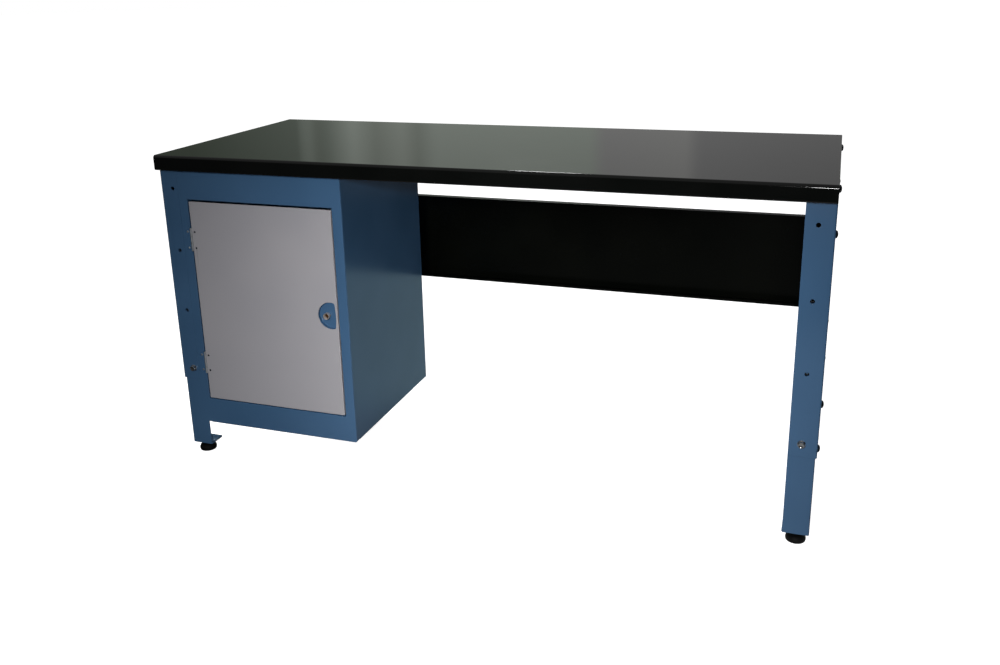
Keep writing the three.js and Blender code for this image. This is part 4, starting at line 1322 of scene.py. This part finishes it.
@dataclass
class Lock:
    """The cam lock: a housing with a coned mouth, a nut, a plug with a keyhole, and a cam."""

    front: float
    cup_depth: float
    fasteners: Fasteners
    sink: float = 6.0
    nut_across: float = 22.0
    nut_bore: float = 8.1
    plug_radius: float = 5.5
    plug_rim: float = 5.3
    plug_flat: float = 4.9
    key_half: tuple[float, float] = (4.0, 1.1)
    key_corner: float = 0.5
    key_depth: float = 6.0
    tang_half: float = 3.5
    tang_corner: float = 0.4
    cam_hole_half: float = 3.7
    cam_gap: float = 0.2
    cam_edge: float = 0.3
    core: Array = field(init=False)
    spot: Array = field(init=False)

    def __post_init__(self) -> None:
        """Find the plug's middle, in space and in Z and X."""
        self.core = middle("lock_plug")
        self.spot = self.core[[2, 0]]

    def build(self) -> None:
        """Make the housing, the nut, the plug and the cam."""
        back = node_box("lock_housing")[1][1] - self.front
        floor = self.cup_depth - 0.2
        line = np.array([
            [5.7, self.sink + 0.2], [8.5, 0.3], [8.8, 0.0], [9.2, 0.4], [9.2, floor - 0.4], [8.8, floor],
            [8.0, floor], [8.0, back - 0.6], [7.4, back], [5.7, back]])
        origin = (self.core[0], self.front, self.core[2])
        housing = Skin().turned(line[:, 0], line[:, 1], origin, (0, 1, 0), ring=True)
        make_piece(housing, "lock_barrel", NICKEL, "lock_housing", "door")
        low, high = node_box("lock_nut")
        seat = (self.core[0], low[1], self.core[2])
        tall = float(high[1] - low[1])
        nut = self.fasteners.nut(Skin(), seat, (0, 1, 0), self.nut_bore, self.nut_across, tall)
        make_piece(nut, "lock_ring_nut", ZINC, "lock_nut", "door")
        self.plug()
        self.cam()

    def plug(self) -> None:
        """Make the plug: a rounded disc with a keyhole sunk in it, and a square tang behind."""
        low, high = node_box("lock_plug")
        face = float(low[1]) + self.sink
        end = float(node_box("lock_cam")[0][1]) - self.cam_gap
        key = fillet(centred(self.spot, self.key_half), self.key_corner, closed=True, steps=3)
        tang = fillet(centred(self.spot, self.tang_half), self.tang_corner, closed=True, steps=3)
        radii = (self.plug_flat, self.plug_rim, self.plug_radius, self.plug_radius)
        rows = np.stack([circle(self.spot, radius, ROUND) for radius in radii])
        levels = np.array([face, face + 0.15, face + 0.5, end])
        sunk = face + self.key_depth
        skin = Skin().panel([rows[0], key], Axis.Y, face).wall(key, Axis.Y, (face, sunk))
        skin.panel([key], Axis.Y, sunk)
        skin.grid(lifted(rows, Axis.Y, levels[:, None]), loop_v=True)
        skin.panel([rows[-1], tang], Axis.Y, end).wall(tang, Axis.Y, (end, high[1]))
        skin.panel([tang], Axis.Y, float(high[1]))
        make_piece(skin, "lock_key_plug", BRASS, "lock_plug", "lock")

    def cam(self) -> None:
        """Make the cam: a flat bar with round ends and a square hole."""
        low, high = node_box("lock_cam")
        half = (high[0] - low[0]) / 2
        sweep = np.linspace(-np.pi / 2, np.pi / 2, 16)
        arc = half * pairs(np.cos(sweep), np.sin(sweep))
        bar = np.concatenate([self.spot + arc, [low[2] + half, self.spot[1]] - arc])
        skin = Skin().panel([bar, centred(self.spot, self.cam_hole_half)], Axis.Y, low[1])
        sheet = Sheet(float(high[1] - low[1]), (0, -1, 0), self.cam_edge)
        make_piece(skin, "lock_cam_bar", ZINC, "lock_cam", "lock", sheet)


class Leaf(Enum):
    """A hinge's two leaves, by the sign of X from the pin to each."""

    FRAME = -1
    DOOR = 1

    @property
    def body(self) -> str:
        """The body that carries the leaf."""
        return "bench" if self is Leaf.FRAME else "door"

    def node(self, row: str) -> str:
        """The leaf's node in the upper or lower hinge."""
        return f"hinge_{row}_{self.name.lower()}_leaf"


@dataclass
class Hinge:
    """A butt hinge: two leaves behind the sheets, rolled round a pin, and rivets through to the front."""

    row: str
    front: float
    knuckle: float = 3.0
    bore: float = 1.5
    gauge: float = 1.2
    leaf_gap: float = 0.7
    leaf_corner: float = 1.2
    roll_turns: float = 0.96
    rivet_radius: float = 3.0
    rivet_neck: float = 2.1
    rivet_depth: float = 2.8
    rivet_land: float = 0.1
    rivet_dome: float = 1.0
    rivet_pitch: float = 47.0
    frame_reach: float = 10.5
    door_reach: float = 12.5
    gap: float = 0.4

    def build(self) -> None:
        """Make the leaves, the rivets and the pin."""
        for leaf in Leaf:
            self.leaf(leaf)
            self.rivets(leaf)
        self.pin()

    def spans(self, leaf: Leaf, bottom: float, top: float) -> list[tuple[float, float]]:
        """Height limits of a leaf's knuckles: the outer thirds on the frame, the middle on the door.

        Args:
            leaf: which leaf.
            bottom: its lower end.
            top: its upper end.

        Returns:
            The lower and upper end of each knuckle.
        """
        third = (top - bottom) / 3
        lower, upper = bottom + third, top - third
        half = self.gap / 2
        if leaf is Leaf.DOOR:
            return [(lower + half, upper - half)]
        return [(bottom, lower - half), (upper + half, top)]

    def leaf(self, leaf: Leaf) -> None:
        """Make one leaf.

        The flat is a sheet with rounded outer corners. Each knuckle is the sheet's strip carried on
        round a circle about the pin.

        Args:
            leaf: which leaf.
        """
        node = leaf.node(self.row)
        low, high = node_box(node)
        axis = middle(f"hinge_{self.row}_pin")
        back = axis[1] + self.knuckle
        front = back - self.gauge
        start = axis[0] + leaf.value * (self.knuckle + self.leaf_gap)
        edge = low[0] if leaf is Leaf.FRAME else high[0]
        outline = rectangle((min(edge, start), low[2]), (max(edge, start), high[2]))
        outline = fillet(outline, self.leaf_corner, closed=True)[:, ::-1]
        skin = Skin().wall(outline, Axis.Y, (front, back))
        for level in (front, back):
            skin.panel([outline], Axis.Y, level)
        roll = np.pi / 2 - np.linspace(0, leaf.value * self.roll_turns * 2 * np.pi, 40)
        around = pairs(np.cos(roll), np.sin(roll))
        outer = np.concatenate([[[start, back]], around * self.knuckle + axis[:2]])
        inner = np.concatenate([[[start, front]], around * self.bore + axis[:2]])
        ring = np.concatenate([outer, inner[::-1]])
        for span in self.spans(leaf, low[2], high[2]):
            skin.wall(ring, Axis.Z, span)
            for level in span:
                skin.grid(lifted(np.stack([outer, inner]), Axis.Z, level))
        make_piece(skin, f"{node}_plate", ZINC, node, leaf.body)

    def rivets(self, leaf: Leaf) -> None:
        """Make a leaf's two rivets: low turned buttons on the front of the sheet.

        Args:
            leaf: which leaf.
        """
        reach = self.frame_reach if leaf is Leaf.FRAME else self.door_reach
        x = middle(f"hinge_{self.row}_pin")[0] + leaf.value * reach
        height = middle(Leaf.DOOR.node(self.row))[2]
        rise = np.linspace(0, np.pi / 2, 8)
        neck = self.rivet_neck
        radii = np.concatenate([[0.0, neck, neck], self.rivet_radius * np.cos(rise[:-1]), [0.0]])
        dome = self.rivet_land + self.rivet_dome * np.sin(rise)
        heights = np.concatenate([[-self.rivet_depth, -self.rivet_depth, 0.0], dome])
        skin = Skin()
        for half in (-self.rivet_pitch / 2, self.rivet_pitch / 2):
            skin.turned(radii, heights, (x, self.front, height + half), (0, -1, 0), SMALL_ROUND)
        finish = ZINC if leaf is Leaf.FRAME else OXIDE
        make_piece(skin, f"{leaf.node(self.row)}_rivets", finish, body=leaf.body)

    def pin(self) -> None:
        """Make the pin with its button head."""
        node = f"hinge_{self.row}_pin"
        bottom, top = (corner[2] for corner in node_box(node))
        radii = np.array([0.0, 1.0, 1.3, 1.3, 2.2, 2.4, 2.2, 1.2, 0.0])
        heights = np.array([
            bottom, bottom, bottom + 0.4, top - 1.0, top - 1.0, top - 0.7, top - 0.2, top, top])
        skin = Skin().turned(radii, heights, (*middle(node)[:2], 0.0), (0, 0, 1), SMALL_ROUND)
        make_piece(skin, f"{node}_rod", ZINC, node)


# Stage


@dataclass(frozen=True)
class Softbox:
    """A soft lamp: its place, its target, its width and height in metres, its watts and its beam.

    The spread is the beam's angle, as through a grid. A lamp that isn't mirrored stays out of gloss.
    """

    name: str
    place: Point
    target: Point
    size: tuple[float, float]
    watts: float
    spread_degrees: float = 180.0
    mirrored: bool = False

    def build(self) -> None:
        """Add the lamp."""
        lamp = bpy.data.lights.new(self.name, "AREA")
        lamp.shape = "RECTANGLE"
        lamp.size, lamp.size_y = self.size
        lamp.energy = self.watts
        lamp.spread = math.radians(self.spread_degrees)
        holder = bpy.data.objects.new(self.name, lamp)
        bpy.context.scene.collection.objects.link(holder)
        holder.visible_glossy = self.mirrored
        holder.location = self.place
        aim = Vector(self.target) - Vector(self.place)
        holder.rotation_euler = aim.to_track_quat("-Z", "Y").to_euler()


@dataclass(frozen=True)
class Patch:
    """A soft round patch of floor: its middle, and the distances at which it starts and ends to fade."""

    centre: Point
    reach: tuple[float, float]

    def share(self, tree: bpy.types.NodeTree, place: bpy.types.NodeSocket) -> bpy.types.NodeSocket:
        """The output that is one in the patch and none beyond it, given the output of a place."""
        away = add(tree, "VectorMath", {0: place, 1: self.centre}, operation="DISTANCE")["Value"]
        return add(tree, "MapRange", {
            "Value": away, "From Min": self.reach[0], "From Max": self.reach[1],
            "To Min": 1.0, "To Max": 0.0}, interpolation_type="SMOOTHSTEP")[0]


@dataclass(frozen=True)
class Band:
    """A stop of the backdrop's upright bands: its X in metres and its tone."""

    x: float
    tone: str


@dataclass(frozen=True)
class Studio:
    """Camera at the photograph's angle, pale floor, soft light and a dim room for the gloss to show."""

    camera_place: Point = (0.8837, -2.5972, 1.36)
    camera_turn: Point = (72.952, 1.2202, 19.269)
    lens: float = 35.2233
    sensor: float = 36.0
    shift: tuple[float, float] = (0.00876, -0.05318)
    view_end: float = 200.0
    floor_radius: float = 60000.0
    floor_tone: str = "#bcbcbc"
    floor_glow: float = 0.97
    floor_fade: tuple[float, float] = (1.5, 6.0)
    # Painted pool of light on the floor, seen in gloss and in bounced light: its patches, albedo and glow
    # tones.
    pool: Patch = Patch((0.3, 1.1, 0.0), (0.9, 1.5))
    painted_pool_albedo: tuple[float, float] = (0.05, 0.45)
    painted_pool_glow_tones: tuple[str, str] = ("#2c2e2f", "#98b1b6")
    front_pool: Patch = Patch((0.4, -1.0, 0.0), (0.8, 1.4))
    painted_front_pool_glow: str = "#929292"
    room_radius: float = 7000.0
    room_height: float = 4200.0
    room_fade: tuple[float, float] = (1.5, 4.2)
    room_glow: tuple[float, float] = (0.03, 0.22)
    wall_y: float = 4000.0
    wall_x: tuple[float, float] = (-6.0, 4.0)
    wall_fade: tuple[float, float] = (1.3, 1.9)
    wall_glow: tuple[float, float] = (0.86, 0.9)
    sky_top: float = 0.9
    sky_glow: tuple[float, float] = (0.035, 0.18)
    bands: tuple[Band, ...] = (
        Band(-6.0, "#474f46"), Band(-4.0, "#525a50"), Band(-3.02, "#6f776e"), Band(-2.98, "#889087"),
        Band(-2.9, "#889087"), Band(-2.86, "#798077"), Band(-2.77, "#80887f"), Band(-2.55, "#aab2a9"),
        Band(-2.36, "#959c93"), Band(-2.15, "#a6ada4"), Band(-2.02, "#959c93"), Band(-1.88, "#a7afa6"),
        Band(-0.72, "#a7afa6"), Band(-0.62, "#a2a2a1"), Band(-0.06, "#a6a6a4"), Band(0.03, "#939393"),
        Band(0.8, "#8a8a8a"), Band(4.0, "#7c7c7c"))
    lamps: tuple[Softbox, ...] = (
        Softbox("key", (0.46, -2.62, 1.5), (0.17, -0.35, 0.31), (0.2, 0.2), 7.0, 51.0),
        Softbox("glint", (0.88, -2.62, 0.84), (0.4, -0.35, 0.6), (0.16, 0.12), 7.0, mirrored=True),
        Softbox("fill", (-0.6, -9.0, 4.0), (0.0, 0.0, 0.4), (1.0, 1.0), 265.0),
        Softbox("window", (-1.145, 3.9, 3.0), (-0.3, 0.0, 0.9), (0.48, 1.0), 25.0, mirrored=True),
        Softbox("rear", (-0.8, 2.8, 2.6), (0.0, 0.0, 0.4), (2.0, 1.2), 60.0),
        Softbox("right_end", (2.6, 1.6, 0.8), (0.9, -0.02, 0.45), (0.3, 0.3), 1.6, 24.0),
        Softbox("left_end", (-2.6, 1.6, 0.8), (-0.9, -0.05, 0.45), (0.4, 0.4), 4.6, 40.0))

    def build(self) -> None:
        """Make the stage."""
        self.camera()
        self.floor()
        self.room()
        self.backdrop()
        self.world()
        for lamp in self.lamps:
            lamp.build()
        bpy.context.scene.view_settings.view_transform = "Standard"

    def camera(self) -> None:
        """Add the camera that was fitted to the photograph's straight edges."""
        data = bpy.data.cameras.new("photo_camera")
        data.sensor_width = self.sensor
        data.lens = self.lens
        data.shift_x, data.shift_y = self.shift
        data.clip_end = self.view_end
        holder = bpy.data.objects.new("photo_camera", data)
        bpy.context.scene.collection.objects.link(holder)
        holder.location = self.camera_place
        holder.rotation_euler = [math.radians(angle) for angle in self.camera_turn]
        bpy.context.scene.camera = holder

    @staticmethod
    def stand(skin: Skin, material: bpy.types.Material, facing: Point, gloss_only: bool) -> None:
        """Add a piece of the stage.

        Args:
            skin: its surface.
            material: its material, which names it.
            facing: the way that it mostly faces.
            gloss_only: whether only reflections show it.
        """
        piece = bpy.data.objects.new(material.name, skin.mesh(material.name, facing))
        bpy.context.scene.collection.objects.link(piece)
        piece.data.materials.append(material)
        if gloss_only:
            piece.visible_camera = False
            piece.visible_diffuse = False
            piece.visible_transmission = False
            piece.visible_shadow = False

    def floor(self) -> None:
        """Add a pale floor that keeps the object's shadow.

        For the camera it glows up to white, more so with distance. For gloss it glows as a painted
        reflection of a dim floor, with a painted pool of light under and behind the bench and another
        before it. For bounced light its albedo rises in the same painted pool of light.
        """
        material = blank("pale_floor")
        tree = material.node_tree
        path = add(tree, "LightPath")
        place = add(tree, "TexCoord")["Object"]
        away = add(tree, "VectorMath", {0: place}, operation="LENGTH")["Value"]
        glow = add(tree, "MapRange", {
            "Value": away, "From Min": self.floor_fade[0], "From Max": self.floor_fade[1],
            "To Min": self.floor_glow, "To Max": 1.0}, interpolation_type="SMOOTHSTEP")[0]
        pale = add(tree, "BsdfDiffuse", {"Color": linear(self.floor_tone)})[0]
        seen = add(tree, "AddShader", {0: pale, 1: add(tree, "Emission", {"Strength": glow})[0]})[0]
        # Painted pool of light: its mask sets the bounce albedo and the glow that gloss sees.
        pool = self.pool.share(tree, place)
        albedo = add(tree, "MapRange", {
            "Value": pool, "To Min": self.painted_pool_albedo[0], "To Max": self.painted_pool_albedo[1]})[0]
        dim, bright = map(linear, self.painted_pool_glow_tones)
        painted_floor_glow = add(tree, "Mix", {0: pool, 6: dim, 7: bright}, data_type="RGBA")[2]
        painted_floor_glow = add(tree, "Mix", {
            0: self.front_pool.share(tree, place), 6: painted_floor_glow, 7: linear(self.painted_front_pool_glow)},
            data_type="RGBA", blend_type="LIGHTEN")[2]
        unseen = add(tree, "MixShader", {
            0: path["Is Glossy Ray"], 1: add(tree, "BsdfDiffuse", {"Color": albedo})[0],
            2: add(tree, "Emission", {"Color": painted_floor_glow})[0]})[0]
        mixed = add(tree, "MixShader", {0: path["Is Camera Ray"], 1: unseen, 2: seen})[0]
        add(tree, "OutputMaterial", {"Surface": mixed})
        disc = Skin().panel([circle((0, 0), self.floor_radius, 96)], Axis.Z, 0.0)
        self.stand(disc, material, (0, 0, 1), False)

    def room(self) -> None:
        """Add a dim lidded drum that only gloss sees."""
        material = blank("dim_room")
        tree = material.node_tree
        height = add(tree, "SeparateXYZ", {0: add(tree, "TexCoord")["Object"]})["Z"]
        level = add(tree, "MapRange", {
            "Value": height, "From Min": self.room_fade[0], "From Max": self.room_fade[1],
            "To Min": self.room_glow[0], "To Max": self.room_glow[1]})[0]
        add(tree, "OutputMaterial", {"Surface": add(tree, "Emission", {"Strength": level})[0]})
        radii = np.array([self.room_radius, self.room_radius, 0.0])
        heights = np.array([0.0, self.room_height, self.room_height])
        self.stand(Skin().turned(radii, heights, (0, 0, 0), (0, 0, 1)), material, (0, 0, 1), True)

    def backdrop(self) -> None:
        """Add a backdrop with soft upright bands in it, that only gloss sees."""
        material = blank("banded_backdrop")
        tree = material.node_tree
        start, end = self.wall_x
        part = add(tree, "SeparateXYZ", {0: add(tree, "TexCoord")["Object"]})
        share = add(tree, "MapRange", {"Value": part["X"], "From Min": start, "From Max": end})[0]
        tone = add(tree, "ValToRGB", {0: share})[0]
        elements = tone.node.color_ramp.elements
        while len(elements) < len(self.bands):
            elements.new(0.5)
        for element, band in zip(elements, self.bands):
            element.position = (band.x - start) / (end - start)
            element.color = linear(band.tone)
        level = add(tree, "MapRange", {
            "Value": part["Z"], "From Min": self.wall_fade[0], "From Max": self.wall_fade[1],
            "To Min": self.wall_glow[0], "To Max": self.wall_glow[1]})[0]
        glow = add(tree, "Emission", {"Color": tone, "Strength": level})[0]
        add(tree, "OutputMaterial", {"Surface": glow})
        corners = rectangle((0.0, start / MM), (self.room_height, end / MM))
        self.stand(Skin().panel([corners], Axis.Y, self.wall_y), material, (0, -1, 0), True)

    def world(self) -> None:
        """White for the camera, gloss and glass, and for the rest a sky that brightens upwards."""
        world = bpy.data.worlds.new("studio")
        bpy.context.scene.world = world
        world.use_nodes = True
        tree = world.node_tree
        tree.nodes.clear()
        path = add(tree, "LightPath")
        straight = add(tree, "Math", {0: path["Is Camera Ray"], 1: path["Is Transmission Ray"]},
                       operation="MAXIMUM")[0]
        seen = add(tree, "Math", {0: straight, 1: path["Is Glossy Ray"]}, operation="MAXIMUM")[0]
        height = add(tree, "SeparateXYZ", {0: add(tree, "TexCoord")["Generated"]})["Z"]
        level = add(tree, "MapRange", {
            "Value": height, "From Max": self.sky_top,
            "To Min": self.sky_glow[0], "To Max": self.sky_glow[1]})[0]
        sky = add(tree, "Background", {"Color": WHITE, "Strength": level})[0]
        white = add(tree, "Background", {"Color": WHITE})[0]
        add(tree, "OutputWorld", {"Surface": add(tree, "MixShader", {0: seen, 1: sky, 2: white})[0]})


def main() -> None:
    """Build the bench's sub-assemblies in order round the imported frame."""
    logging.basicConfig(level=logging.INFO, format="%(name)s: %(message)s")
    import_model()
    bench = Bench()
    fasteners = Fasteners()
    cabinet = Cabinet()
    Studio().build()
    Worktop().build(fasteners)
    Legs(bench, fasteners).build()
    Stiffeners(fasteners).build()
    cabinet.build()
    Door(cabinet, fasteners).build()


if __name__ == "__main__":
    main()
